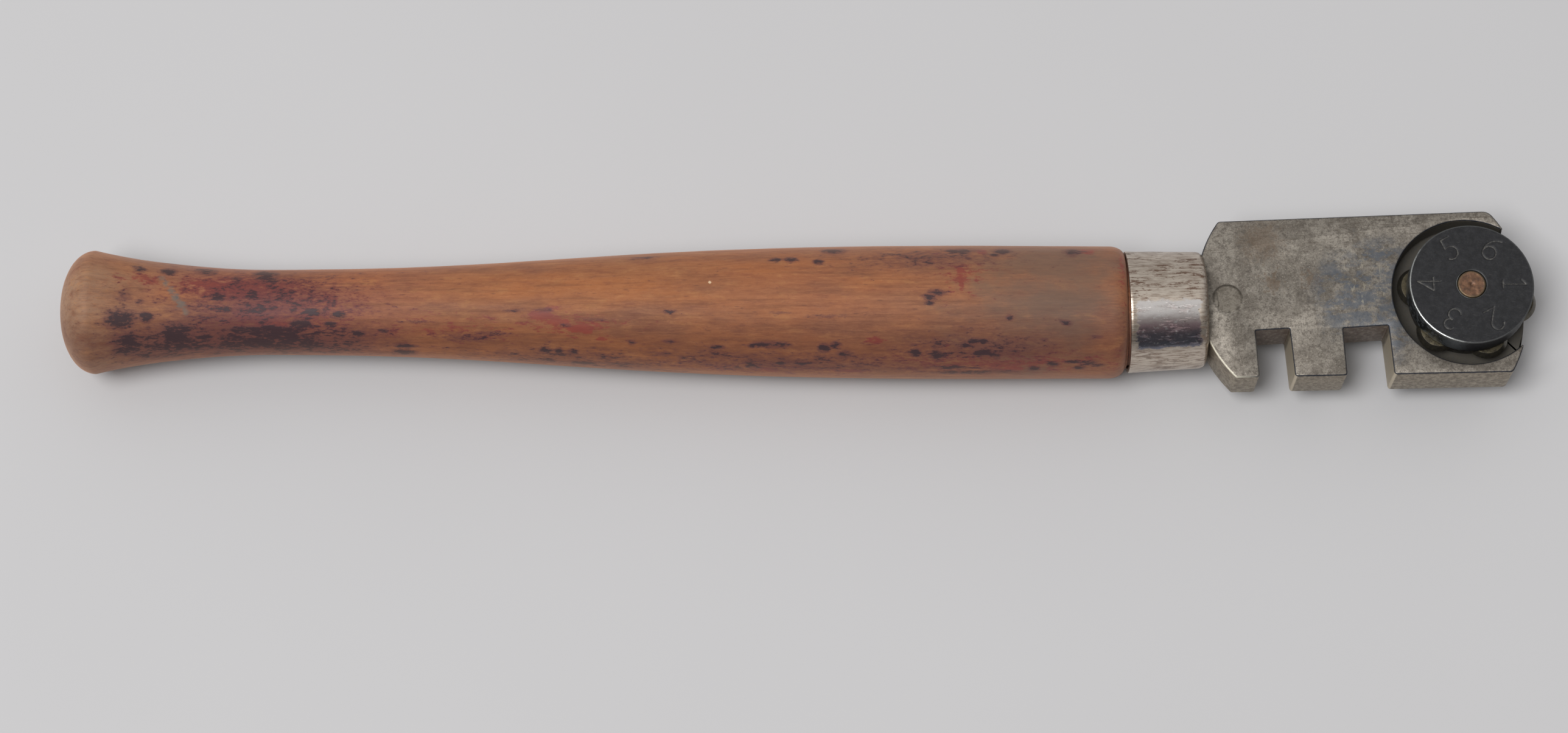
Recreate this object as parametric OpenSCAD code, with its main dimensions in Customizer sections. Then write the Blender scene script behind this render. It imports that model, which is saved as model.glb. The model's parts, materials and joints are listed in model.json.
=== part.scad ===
// Six-wheel turret glass cutter with a turned wooden handle.
// X runs along the handle towards the cutting wheel, Z is square to the head plate,
// and the breaking notches open towards -Y. The tool lies face up on z = 0.
// Inside the modules, lengths run from the handle's shoulder along the handle's axis.

/* [Handle] */
// Length of the wood from its domed end to the shoulder at the ferrule
handle_len = 93.9; // [85:0.1:110]
// Largest diameter, near the ferrule
belly_d = 11.9; // [11.4:0.1:14]
// Smallest diameter, at the waist before the flared end
waist_d = 7.6; // [6.5:0.1:9]
// Diameter of the flared end
flare_d = 11; // [9.5:0.1:13]
// Length of the rounded dome on the flared end
dome_len = 3; // [2:0.1:5]
// Distance from the shoulder back to the thickest place
belly_back = 13; // [8:0.5:25]
// Distance from the flared rim forward to the waist
waist_fwd = 15; // [10:0.5:25]
// Rounding of the shoulder
shoulder_r = 0.8; // [0.4:0.1:1]

/* [Ferrule] */
// Length of the ferrule that shows
ferrule_len = 6.9; // [6:0.1:12]
// Outside diameter where it meets the wood
ferrule_d = 10.8; // [10.4:0.1:11]
// Outside diameter just behind the front lip
ferrule_front_d = 10.3; // [9.8:0.1:10.4]
// Sheet thickness
ferrule_t = 0.45; // [0.3:0.05:0.6]
// Radius of the turned-in front lip
lip_r = 0.75; // [0.5:0.05:0.9]

/* [Head plate] */
// Angle that the head and ferrule lean from the handle's axis, towards +Y
head_lean = 1.8; // [0:0.1:3]
// Plate thickness
plate_t = 4.5; // [4:0.1:5]
// Plate height across the root end
plate_h = 14.5; // [13.5:0.1:16]
// Growth in height over the plate's length
plate_flare = 0.55; // [0:0.05:1]
// How far the plate's middle sits from the ferrule's axis
plate_shift = 0.22; // [0:0.02:0.5]
// Distance from the shoulder to the turret's axis
turret_x = 30.25; // [29:0.05:33]
// Distance from the turret's axis to the plate's tip
tip_reach = 5; // [4.6:0.1:5.4]
// Radius of the rounded root end
root_r = 11.4; // [10:0.1:14]
// Radius of the rounded tip
tip_r = 13.2; // [10.5:0.1:14]

/* [Breaking notches] */
// Width of the notch nearer the ferrule, for 3 mm glass
notch_a_w = 3; // [2.5:0.1:3.5]
// Width of the notch nearer the turret, for 4 mm glass
notch_b_w = 4; // [3.5:0.1:4.5]
// Distance from the shoulder to the middle of the first notch
notch_a_x = 12.8; // [12:0.1:14]
// Distance from the shoulder to the middle of the second notch
notch_b_x = 21; // [20:0.1:21.5]
// Notch depth
notch_depth = 4.3; // [3.5:0.1:5]
// Lean of both notches from square
notch_lean = 2; // [0:0.5:4]
// Casting draft on each notch wall
notch_draft = 0.6; // [0:0.1:1.5]

/* [Turret] */
// Diameter of the numbered cap
cap_d = 10.9; // [10.4:0.1:11.4]
// Thickness of the numbered cap
cap_t = 2.5; // [2:0.1:3]
// How far the cap stands above the plate's face
cap_proud = 2.1; // [1.8:0.05:2.3]
// Diameter of the base disc under the wheels
base_d = 9.9; // [9.9:0.1:11]
// Thickness of the base disc
base_t = 0.9; // [0.7:0.05:1.1]
// Radius from the turret's axis to each wheel's axle
pitch_r = 4.25; // [4.1:0.05:4.3]
// Number of wheels
wheels = 6; // [6:1:6]
// Angle that the turret is left at, from the head's own axis
turret_turn = -10.8; // [-30:0.2:30]
// Angle between the digits and the wheels they number
digit_offset = 9; // [-10:1:10]
// Depth of the engraved digits
digit_depth = 0.12; // [0.05:0.01:0.25]

/* [Wheels and axles] */
// Diameter of a cutting wheel over its edge
wheel_d = 3.8; // [3.4:0.1:3.9]
// Thickness of a cutting wheel
wheel_t = 1.1; // [0.9:0.05:1.2]
// Width of the bevel on each side of the cutting edge, along the radius
bevel_w = 0.32; // [0.2:0.02:0.45]
// Axle diameter
axle_d = 1; // [0.8:0.05:1.1]
// Radial clearance between a wheel and its axle
axle_play = 0.03; // [0.01:0.01:0.08]
// Gap between a wheel and the disc on each side of it
wheel_play = 0.06; // [0.03:0.01:0.15]

/* [Clamp screw] */
// Shank diameter
screw_d = 2.5; // [2.5:0.1:3]
// Head diameter
screw_head_d = 7; // [6:0.1:8]
// Head height
screw_head_h = 2.3; // [1.8:0.1:2.5]
// Slot width
slot_w = 0.9; // [0.6:0.1:1.2]
// Slot depth
slot_depth = 1.1; // [0.6:0.1:1.4]
// Radial clearance of the shank in the turret and the plate
screw_play = 0.03; // [0.02:0.01:0.08]
// Flat washer: outside diameter
washer_d = 8; // [7.4:0.1:9]
// Flat washer: thickness
washer_t = 0.4; // [0.3:0.05:0.6]
// Spring washer: sheet thickness
spring_t = 0.35; // [0.25:0.05:0.4]
// Spring washer: how far its cone is dished
spring_dish = 0.3; // [0.2:0.05:0.4]

/* [Tang] */
// Tang diameter over its barbs
tang_d = 5; // [4:0.1:5.5]
// Length of the tang inside the wood
tang_len = 24; // [15:1:35]
// Number of barbs
barbs = 7; // [3:1:10]

/* [Hidden] */
$fn = 96;
GAP = 0.02;          // clearance between pieces that are fitted together for good
CUT = 1;             // how far a cutting tool runs past a face
CURVE_STEPS = 14;    // stations on each curved stretch of the handle

axis_z = belly_d / 2;                     // the handle lies with its belly on z = 0
face_z = plate_t / 2;
cap_z = face_z + cap_proud - cap_t;       // underside of the cap
base_z = cap_z - wheel_t - 2 * wheel_play - base_t;
recess_r = pitch_r + wheel_d / 2 + 0.5;   // room for the wheels to pass
wheel_z = cap_z - wheel_play - wheel_t / 2;
wheel_step = 360 / wheels;
axle_r = axle_d / 2;
axle_in_cap = 1.6;                        // blind depth of each axle in the cap
screw_r = screw_d / 2;
head_z = -face_z - washer_t - spring_t - spring_dish - screw_head_h;

ferrule_r = ferrule_d / 2;
ferrule_front_r = ferrule_front_d / 2;
ferrule_x = 0.2;                          // joint left open between wood and ferrule
front_x = ferrule_x + ferrule_len;
root_x = front_x + GAP;
tenon_end = front_x - ferrule_t - 0.3;

// Half of the plate's height at distance x, and the middle of its outline
half_slope = plate_flare / 2 / (turret_x + tip_reach - root_x);
half_at_axis = plate_h / 2 - half_slope * root_x;
tip_x = turret_x + tip_reach;
root_arc = [front_x - 0.75 + root_r, plate_shift + 0.4];
tip_arc = [tip_x - tip_r + 0.25, plate_shift - 0.7];

// Distance x at which the line y = m*x + b meets a circle about c, on the given side
function meet(m, b, c, r, side) =
    let (k = 1 + m * m, dy = b - c.y, h = m * dy - c.x)
    (-h + side * sqrt(h * h - k * (c.x * c.x + dy * dy - r * r))) / k;

// Point turned by the head's lean about the shoulder
function leaned(p) = [p.x * cos(head_lean) - p.y * sin(head_lean),
                      p.x * sin(head_lean) + p.y * cos(head_lean)];

// Point on a cubic curve with end points a, d and handles b, c
function bezier(a, b, c, d, t) =
    pow(1 - t, 3) * a + 3 * pow(1 - t, 2) * t * b + 3 * (1 - t) * t * t * c + pow(t, 3) * d;

// Outer corners of the whole tool, which place it over its own middle
top_corner_x = meet(half_slope, half_at_axis + plate_shift, tip_arc, tip_r, 1);
top_corner = leaned([top_corner_x, half_slope * top_corner_x + half_at_axis + plate_shift]);
low_corner_x = meet(-half_slope, plate_shift - half_at_axis, root_arc, root_r, -1);
low_corner = leaned([low_corner_x, -half_slope * low_corner_x - half_at_axis + plate_shift]);
lead_angle = head_lean + turret_turn;
x_max = leaned([turret_x, plate_shift]).x + pitch_r * cos(lead_angle) + wheel_d / 2;
middle = [(x_max - handle_len) / 2, (top_corner.y + low_corner.y) / 2];

// ---- placing ----

// From the handle's axis to the tool's own frame
module on_handle() {
    translate([-middle.x, -middle.y, axis_z]) children();
}

// Along the leaning axis of the ferrule and head
module on_head() {
    on_handle() rotate([0, 0, head_lean]) children();
}

// At the turret's axis, turned with the turret
module on_turret() {
    on_head() translate([turret_x, plate_shift, 0]) rotate([0, 0, turret_turn]) children();
}

// At axle number i, where axle 1 is the one that cuts
module on_axle(i) {
    on_turret() rotate([0, 0, -(i - 1) * wheel_step]) translate([pitch_r, 0, 0]) children();
}

// A turned piece whose profile is [distance along X, radius]
module turned(profile) {
    rotate([0, 90, 0]) rotate_extrude() polygon([for (p = profile) [p.y, p.x]]);
}

// A round bar from z0 to z1
module bar(r, z0, z1) {
    translate([0, 0, z0]) cylinder(r = r, h = z1 - z0);
}

// ---- handle ----

function handle_profile() =
    let (
        belly = [-belly_back, belly_d / 2],
        rim = [dome_len - handle_len, flare_d / 2],
        waist = [rim.x + waist_fwd, waist_d / 2],
        rise = belly.x - waist.x,
        dome = [for (i = [0:CURVE_STEPS])
            let (a = 90 * i / CURVE_STEPS)
            [rim.x - dome_len * cos(a), rim.y * pow(sin(a), 0.9)]],
        flare = [for (i = [1:CURVE_STEPS])
            bezier(rim, rim + [5, -1.25], waist - [3, 0], waist, i / CURVE_STEPS)],
        swell = [for (i = [1:2 * CURVE_STEPS])
            bezier(waist, waist + [0.4 * rise, 0], belly - [0.55 * rise, 0], belly,
                   i / (2 * CURVE_STEPS))],
        shoulder = [for (i = [0:6])
            let (a = 15 * i)
            [-shoulder_r + shoulder_r * sin(a),
             belly_d / 2 - 0.06 - shoulder_r + shoulder_r * cos(a)]]
    )
    concat(dome, flare, swell, shoulder, [[0, 0]]);

module handle() {
    color("peru") difference() {
        union() {
            on_handle() turned(handle_profile());
            on_head() rotate([0, 90, 0]) {
                bar(ferrule_r - 1.5, -2, 0);
                bar(ferrule_front_r - ferrule_t - GAP, 0, tenon_end);
            }
        }
        on_head() rotate([0, 90, 0]) bar(tang_d / 2, -tang_len - CUT, tenon_end + CUT);
    }
}

// ---- ferrule ----

module ferrule() {
    lip_x = front_x - lip_r;
    lip_y = ferrule_front_r - lip_r;
    outer = [for (i = [0:6])
        [lip_x + lip_r * sin(15 * i), lip_y + lip_r * cos(15 * i)]];
    inner_r = lip_r - ferrule_t;
    inner = [for (i = [6:-1:0])
        [lip_x + inner_r * sin(15 * i), lip_y + inner_r * cos(15 * i)]];
    mouth_r = tang_d / 2 + 2 * GAP;
    color("silver") on_head() turned(concat(
        [[ferrule_x, ferrule_r]], outer, [[front_x, mouth_r]],
        [[front_x - ferrule_t, mouth_r]], inner, [[ferrule_x, ferrule_r - ferrule_t]]
    ));
}

// ---- head plate ----

// Stretch of the plate from x0 to x1, with its tapering straight edges
module plate_slab(x0, x1) {
    function half(x) = half_slope * x + half_at_axis;
    translate([0, plate_shift, -face_z]) linear_extrude(plate_t)
        polygon([[x0, -half(x0)], [x1, -half(x1)], [x1, half(x1)], [x0, half(x0)]]);
}

// Both stretches run past the plate's middle, where neither arc reaches the edges
module plate_blank() {
    middle_x = (root_arc.x + tip_arc.x) / 2;
    intersection() {
        plate_slab(root_x, middle_x + 1);
        translate([root_arc.x, root_arc.y, 0]) bar(root_r, -face_z - CUT, face_z + CUT);
    }
    intersection() {
        plate_slab(middle_x - 1, tip_x + CUT);
        translate([tip_arc.x, tip_arc.y, 0]) bar(tip_r, -face_z - CUT, face_z + CUT);
    }
}

// Cutting shape of one breaking notch, open towards -Y
module notch(x, w) {
    top_y = plate_shift - plate_h / 2 + notch_depth;
    long = notch_depth + 2;
    spread = long * tan(notch_draft);
    translate([x, top_y, -face_z - CUT]) rotate([0, 0, notch_lean])
        linear_extrude(plate_t + 2 * CUT) polygon([
            [-w / 2, 0], [w / 2, 0], [w / 2 + spread, -long], [-w / 2 - spread, -long]
        ]);
}

// Barbed tang that is driven into the wood
module tang() {
    pitch = tang_len * 0.7 / barbs;
    crest = tang_d / 2;
    valley = crest - 0.35;
    teeth = [for (i = [0:barbs - 1]) each [
        [-tang_len + i * pitch, valley], [-tang_len + (i + 0.85) * pitch, crest - GAP]
    ]];
    shank_x = -tang_len + barbs * pitch;
    turned(concat(
        [[-tang_len, 0]], teeth,
        [[shank_x, valley], [shank_x + 1, crest - GAP], [root_x + CUT, crest - GAP], [root_x + CUT, 0]]
    ));
}

module head_plate() {
    mark_r = 1.3;
    mark_depth = 0.08;
    color("darkkhaki") on_head() {
        difference() {
            union() {
                plate_blank();
                tang();
            }
            notch(notch_a_x, notch_a_w);
            notch(notch_b_x, notch_b_w);
            translate([turret_x, plate_shift, 0]) {
                bar(recess_r, base_z, face_z + CUT);
                bar(screw_r + screw_play, -face_z - CUT, face_z);
            }
            translate([root_x + 1.9, plate_shift, 0]) bar(mark_r, face_z - mark_depth, face_z + CUT);
        }
    }
}

// ---- turret ----

// Straight engraved stroke from a to b, lying in the XY plane
module stroke(a, b) {
    w = 0.2;
    d = b - a;
    translate([a.x, a.y, 0]) rotate([0, 0, atan2(d.y, d.x)])
        translate([-w / 2, -w / 2, 0]) cube([norm(d) + w, w, 2 * digit_depth]);
}

// Curved engraved stroke about c, from angle a0 through the angle sweep
module curl(c, r, a0, sweep) {
    w = 0.2;
    translate([c.x, c.y, 0]) rotate([0, 0, a0])
        rotate_extrude(angle = sweep) translate([r - w / 2, 0]) square([w, 2 * digit_depth]);
}

// A digit 1.2 wide and 2 tall, standing on the X axis
module digit(n) {
    if (n == 1) {
        stroke([0, 0], [0, 2]);
        stroke([0, 2], [-0.4, 1.6]);
        stroke([-0.35, 0], [0.35, 0]);
    }
    if (n == 2) {
        curl([0, 1.45], 0.55, -30, 190);
        stroke([0.48, 1.17], [-0.55, 0]);
        stroke([-0.55, 0], [0.55, 0]);
    }
    if (n == 3) {
        curl([0, 1.5], 0.48, -90, 240);
        curl([0, 0.5], 0.52, -150, 240);
    }
    if (n == 4) {
        stroke([0.25, 0], [0.25, 2]);
        stroke([0.25, 2], [-0.6, 0.6]);
        stroke([-0.6, 0.6], [0.6, 0.6]);
    }
    if (n == 5) {
        curl([0, 0.6], 0.6, -140, 260);
        stroke([-0.3, 1.12], [-0.2, 2]);
        stroke([-0.2, 2], [0.55, 2]);
    }
    if (n == 6) {
        curl([0, 0.6], 0.6, 0, 360);
        curl([0.6, 0.8], 1.2, 95, 85);
    }
}

// Holes for the six axles, from z0 up to z1
module axle_holes(z0, z1) {
    for (i = [1:wheels])
        rotate([0, 0, -(i - 1) * wheel_step]) translate([pitch_r, 0, 0]) bar(axle_r, z0, z1);
}

module turret_cap() {
    edge = 0.15;
    top_z = cap_z + cap_t;
    digit_foot_r = 2.75;
    color("dimgray") on_turret() difference() {
        rotate_extrude() polygon([
            [screw_r + screw_play, cap_z], [cap_d / 2, cap_z], [cap_d / 2, top_z - edge],
            [cap_d / 2 - edge, top_z], [screw_r + screw_play, top_z]
        ]);
        axle_holes(cap_z - CUT, cap_z + axle_in_cap);
        for (i = [1:wheels])
            rotate([0, 0, -(i - 1) * wheel_step + digit_offset])
                translate([digit_foot_r, 0, top_z - digit_depth]) rotate([0, 0, -90]) digit(i);
    }
}

module turret_base() {
    hub_r = pitch_r - wheel_d / 2 - 0.2;
    color("gray") on_turret() difference() {
        union() {
            bar(base_d / 2, base_z, base_z + base_t);
            bar(hub_r, base_z, cap_z);
        }
        bar(screw_r + screw_play, base_z - CUT, cap_z + CUT);
        axle_holes(base_z - CUT, base_z + base_t + CUT);
    }
}

// A hardened wheel with a V-shaped edge, free on its axle
module wheel(i) {
    bore_r = axle_r + axle_play;
    edge_r = wheel_d / 2;
    half_t = wheel_t / 2;
    color("darkgoldenrod") on_axle(i) translate([0, 0, wheel_z]) rotate_extrude() polygon([
        [bore_r, -half_t], [edge_r - bevel_w, -half_t], [edge_r, 0],
        [edge_r - bevel_w, half_t], [bore_r, half_t]
    ]);
}

// A pin pressed into the cap and riveted flush in the base
module axle(i) {
    color("slategray") on_axle(i) bar(axle_r, base_z, cap_z + axle_in_cap);
}

// ---- clamp screw and washers ----

module clamp_screw() {
    edge = 0.3;
    head_r = screw_head_d / 2;
    under_z = head_z + screw_head_h;
    end_z = cap_z + cap_t - 0.02;
    color("goldenrod") on_turret() difference() {
        rotate_extrude() polygon([
            [0, head_z], [head_r - edge, head_z], [head_r, head_z + edge], [head_r, under_z],
            [screw_r, under_z], [screw_r, end_z - 0.1], [screw_r - 0.1, end_z], [0, end_z]
        ]);
        translate([-head_r - CUT, -slot_w / 2, head_z - CUT])
            cube([2 * (head_r + CUT), slot_w, slot_depth + CUT]);
    }
}

module spring_washer() {
    in_r = screw_r + 0.15;
    out_r = screw_head_d / 2 - 0.1;
    low_z = head_z + screw_head_h;
    color("lightsteelblue") on_turret() rotate_extrude() polygon([
        [in_r, low_z], [out_r, low_z + spring_dish],
        [out_r, low_z + spring_dish + spring_t], [in_r, low_z + spring_t]
    ]);
}

module flat_washer() {
    color("lightgray") on_turret() difference() {
        bar(washer_d / 2, -face_z - washer_t, -face_z);
        bar(screw_r + 0.1, -face_z - washer_t - CUT, CUT);
    }
}

handle();
ferrule();
head_plate();
turret_cap();
turret_base();
wheel(1);  // wheel_1
wheel(2);  // wheel_2
wheel(3);  // wheel_3
wheel(4);  // wheel_4
wheel(5);  // wheel_5
wheel(6);  // wheel_6
axle(1);  // axle_1
axle(2);  // axle_2
axle(3);  // axle_3
axle(4);  // axle_4
axle(5);  // axle_5
axle(6);  // axle_6
clamp_screw();
spring_washer();
flat_washer();
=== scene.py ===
"""Looks of a six-wheel turret glass cutter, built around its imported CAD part.

Lengths are in millimetres inside the functions and become metres when a mesh is made.
Each piece is made in the frame of the part that it belongs to: the handle, the leaning head,
the turret or a wheel. A material's positions are in millimetres from that frame's origin.
"""
import json
import math
import random

import bmesh
import bpy
import numpy as np
from mathutils import Matrix, Vector, noise


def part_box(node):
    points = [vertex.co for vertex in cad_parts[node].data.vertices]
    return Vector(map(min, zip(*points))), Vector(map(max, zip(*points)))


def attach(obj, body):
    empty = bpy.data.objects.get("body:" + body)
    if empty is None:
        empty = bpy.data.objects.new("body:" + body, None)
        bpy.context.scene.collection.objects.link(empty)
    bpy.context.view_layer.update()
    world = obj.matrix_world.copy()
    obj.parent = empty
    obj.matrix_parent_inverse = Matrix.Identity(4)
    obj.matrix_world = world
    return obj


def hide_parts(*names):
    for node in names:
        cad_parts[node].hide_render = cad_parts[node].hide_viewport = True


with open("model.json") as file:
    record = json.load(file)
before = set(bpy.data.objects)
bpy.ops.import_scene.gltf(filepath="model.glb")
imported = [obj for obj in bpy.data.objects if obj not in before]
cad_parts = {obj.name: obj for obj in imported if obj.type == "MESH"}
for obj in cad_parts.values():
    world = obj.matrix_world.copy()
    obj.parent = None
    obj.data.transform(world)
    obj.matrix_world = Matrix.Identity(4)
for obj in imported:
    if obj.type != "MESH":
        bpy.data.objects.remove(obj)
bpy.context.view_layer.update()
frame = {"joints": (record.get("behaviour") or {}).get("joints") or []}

MM = 0.001
TAU = 2 * math.pi

# ---- driving dimensions, as in the CAD part ----

HANDLE_LEN = 93.9
FLARE_D = 11.0
WAIST_D = 7.6
DOME_LEN = 3.0
BELLY_BACK = 13.0
WAIST_FORWARD = 15.0
SHOULDER_R = 0.8
SHOULDER_RUN = 1.35
SHOULDER_DROP = 0.06

FERRULE_LEN = 6.9
FERRULE_BACK_D = 10.8
FERRULE_FRONT_D = 10.3
FERRULE_SHEET = 0.45
LIP_R = 0.75
JOINT_GAP = 0.2

HEAD_LEAN = math.radians(1.8)
PLATE_T = 4.5
PLATE_H = 14.5
PLATE_GROWTH = 0.55
PLATE_SHIFT = 0.22
TURRET_X = 30.25
TIP_REACH = 5.0
ROOT_R = 11.4
ROOT_BACK = 0.75
ROOT_RISE = 0.4
TIP_R = 13.2
TIP_AHEAD = 0.25
TIP_DROP = 0.7

NOTCHES = ((12.8, 3.0), (21.0, 4.0))
NOTCH_DEPTH = 4.3
NOTCH_LEAN = math.radians(2)
NOTCH_DRAFT = math.radians(0.6)
EDGE_ROUND = 0.16
HORN_CUT_R = 0.3
MARK_R = 1.3
MARK_DEPTH = 0.08

CAP_D = 10.9
CAP_T = 2.5
CAP_PROUD = 2.1
BASE_D = 9.9
BASE_T = 0.9
PITCH_R = 4.25
WHEELS = 6
TURRET_TURN = math.radians(-10.8)
DIGIT_TURN = math.radians(9)
DIGIT_FOOT_R = 2.75
DIGIT_STROKE = 0.12
DIGIT_DEPTH = 0.08

WHEEL_D = 3.8
WHEEL_T = 1.1
BEVEL_W = 0.32
AXLE_D = 1.0
AXLE_PLAY = 0.03
WHEEL_PLAY = 0.06
AXLE_IN_CAP = 1.6

SCREW_D = 2.5
SCREW_PITCH = 0.45
SCREW_HEAD_D = 7.0
SCREW_HEAD_H = 2.3
SLOT_W = 0.9
SLOT_DEPTH = 1.1
SCREW_PLAY = 0.03
WASHER_D = 8.0
WASHER_T = 0.4
SPRING_T = 0.35
SPRING_DISH = 0.3

TANG_D = 5.0
TANG_LEN = 24.0
BARBS = 7
FIT_GAP = 0.02

# ---- dimensions that follow ----

FACE_Z = PLATE_T / 2
CAP_Z = FACE_Z + CAP_PROUD - CAP_T
TOP_Z = CAP_Z + CAP_T
BASE_Z = CAP_Z - WHEEL_T - 2 * WHEEL_PLAY - BASE_T
RECESS_R = PITCH_R + WHEEL_D / 2 + 0.5
FRONT_X = JOINT_GAP + FERRULE_LEN
ROOT_X = FRONT_X + FIT_GAP
MARK_X = ROOT_X + 1.9
TIP_X = TURRET_X + TIP_REACH
TURRET_AT = (TURRET_X, PLATE_SHIFT)
TENON_END = FRONT_X - FERRULE_SHEET - 0.3
SCREW_HEAD_Z = -FACE_Z - WASHER_T - SPRING_T - SPRING_DISH - SCREW_HEAD_H
WHEEL_STEP = TAU / WHEELS


def joint_place(name):
    """Where the joint's axis is, in metres."""
    return Vector(next(joint["pos_m"] for joint in frame["joints"] if joint["name"] == name))


handle_low, handle_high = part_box("handle")
BELLY_D = (handle_high.z - handle_low.z) / MM
SHOULDER = Vector((
    handle_low.x + HANDLE_LEN * MM,
    (handle_low.y + handle_high.y) / 2,
    (handle_low.z + handle_high.z) / 2,
))
HANDLE_FRAME = Matrix.Translation(SHOULDER)
HEAD_FRAME = HANDLE_FRAME @ Matrix.Rotation(HEAD_LEAN, 4, "Z")
TURRET_FRAME = (
    Matrix.Translation(joint_place("turret_spin")) @ Matrix.Rotation(HEAD_LEAN + TURRET_TURN, 4, "Z")
)


def wheel_frame(number):
    """Frame of one wheel, at the middle of its thickness."""
    turn = HEAD_LEAN + TURRET_TURN - (number - 1) * WHEEL_STEP
    return Matrix.Translation(joint_place(f"wheel_{number}_spin")) @ Matrix.Rotation(turn, 4, "Z")


# ---- camera ----

CAMERA_TILT = math.radians(17.86)
CAMERA_DISTANCE = 359.6
CAMERA_LENS = 93.69
LOOK_AT = Vector((-1.233, -6.022, 5.95)) * MM


def make_camera():
    data = bpy.data.cameras.new("camera")
    data.lens = CAMERA_LENS
    data.sensor_width = 36
    data.clip_start = 0.01
    data.clip_end = 20
    camera = bpy.data.objects.new("camera", data)
    bpy.context.scene.collection.objects.link(camera)
    forward = Vector((0, math.sin(CAMERA_TILT), -math.cos(CAMERA_TILT)))
    camera.location = LOOK_AT - forward * CAMERA_DISTANCE * MM
    camera.rotation_euler = (CAMERA_TILT, 0, 0)
    bpy.context.scene.camera = camera


make_camera()

# ---- outlines ----


def rounded(corners, steps=5):
    """Closed outline through corners (x, y, radius), each rounded with a short curve."""
    points = []
    count = len(corners)
    for i, (x, y, radius) in enumerate(corners):
        here = Vector((x, y))
        if radius == 0:
            points.append((x, y))
            continue
        back = Vector(corners[i - 1][:2]) - here
        ahead = Vector(corners[(i + 1) % count][:2]) - here
        turn = math.pi - back.angle(ahead)
        cut = min(radius * math.tan(turn / 2), 0.49 * back.length, 0.49 * ahead.length)
        start = here + back.normalized() * cut
        end = here + ahead.normalized() * cut
        for step in range(steps + 1):
            t = step / steps
            point = start * (1 - t) ** 2 + here * 2 * t * (1 - t) + end * t ** 2
            points.append((point.x, point.y))
    return points


def arc(centre, radius, start, sweep, steps):
    """Points of an arc, with angles in degrees."""
    angles = [math.radians(start + sweep * i / steps) for i in range(steps + 1)]
    return [(centre[0] + radius * math.cos(a), centre[1] + radius * math.sin(a)) for a in angles]


def bezier(a, b, c, d, steps):
    """Points of a cubic curve from a to d with handles b and c, without a itself."""
    a, b, c, d = (np.array(p, float) for p in (a, b, c, d))
    ts = [i / steps for i in range(1, steps + 1)]
    return [
        tuple((1 - t) ** 3 * a + 3 * (1 - t) ** 2 * t * b + 3 * (1 - t) * t * t * c + t ** 3 * d)
        for t in ts
    ]


def even(points, spacing):
    """The same open line with points at an even spacing."""
    line = np.array(points, float)
    along = np.concatenate([[0], np.cumsum(np.linalg.norm(np.diff(line, axis=0), axis=1))])
    places = np.linspace(0, along[-1], max(2, int(round(along[-1] / spacing)) + 1))
    return np.column_stack([np.interp(places, along, line[:, k]) for k in range(line.shape[1])])


# ---- meshes ----


def mesh_from_rings(name, rings, loop):
    """Mesh through rings of points [ring, place round it, xyz] in millimetres.

    With loop, the last ring joins the first one. Otherwise a fan closes each end.
    """
    count, around, _ = rings.shape
    verts = rings.reshape(-1, 3)
    spans = count if loop else count - 1
    i = np.arange(spans)[:, None]
    j = np.arange(around)[None, :]
    j2 = (j + 1) % around
    i2 = (i + 1) % count
    quads = np.stack(
        [i * around + j, i * around + j2, i2 * around + j2, i2 * around + j], axis=-1
    ).reshape(-1, 4)
    faces = quads.tolist()
    if not loop:
        first = len(verts)
        verts = np.vstack([verts, rings[0].mean(0), rings[-1].mean(0)])
        last_ring = (count - 1) * around
        for k in range(around):
            following = (k + 1) % around
            faces.append([first, following, k])
            faces.append([first + 1, last_ring + k, last_ring + following])
    mesh = bpy.data.meshes.new(name)
    mesh.from_pydata((verts * MM).tolist(), [], faces)
    mesh.update()
    return mesh


def lathe_rings(profile, around, axis):
    """Rings of a turned shape. The profile is [place along the axis, radius]."""
    profile = np.array(profile, float)
    angles = np.arange(around) * TAU / around
    along = np.repeat(profile[:, :1], around, axis=1)
    side_a = profile[:, 1:2] * np.cos(angles)[None, :]
    side_b = profile[:, 1:2] * np.sin(angles)[None, :]
    if axis == "X":
        return np.stack([along, side_a, side_b], axis=-1)
    return np.stack([side_a, side_b, along], axis=-1)


def fix_normals(mesh):
    edit = bmesh.new()
    edit.from_mesh(mesh)
    bmesh.ops.recalc_face_normals(edit, faces=edit.faces)
    edit.to_mesh(mesh)
    edit.free()


def make_object(name, mesh, place):
    """Object of a mesh whose points are in the frame given by place."""
    piece = bpy.data.objects.new(name, mesh)
    bpy.context.scene.collection.objects.link(piece)
    piece.matrix_world = place
    return piece


def shade(piece, sharp_degrees=32):
    """Smooth shading, apart from edges sharper than this."""
    piece.data.shade_smooth()
    piece.data.set_sharp_from_angle(angle=math.radians(sharp_degrees))


def turned(name, profile, place, around=128, axis="Z", loop=True):
    """A turned piece with a closed profile, or with loop=False one that closes on its axis."""
    mesh = mesh_from_rings(name, lathe_rings(profile, around, axis), loop)
    fix_normals(mesh)
    return make_object(name, mesh, place)


def prism(name, outline, z0, z1, place):
    """A straight-sided piece with this outline, from z0 up to z1."""
    count = len(outline)
    verts = [(x * MM, y * MM, z * MM) for z in (z0, z1) for x, y in outline]
    faces = [list(range(count))[::-1], list(range(count, 2 * count))]
    faces += [[i, (i + 1) % count, count + (i + 1) % count, count + i] for i in range(count)]
    mesh = bpy.data.meshes.new(name)
    mesh.from_pydata(verts, [], faces)
    fix_normals(mesh)
    return make_object(name, mesh, place)


def apply_modifiers(piece):
    """Replaces the piece's mesh by what its modifiers make of it."""
    graph = bpy.context.evaluated_depsgraph_get()
    graph.update()
    result = bpy.data.meshes.new_from_object(piece.evaluated_get(graph))
    piece.modifiers.clear()
    piece.data = result


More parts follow.
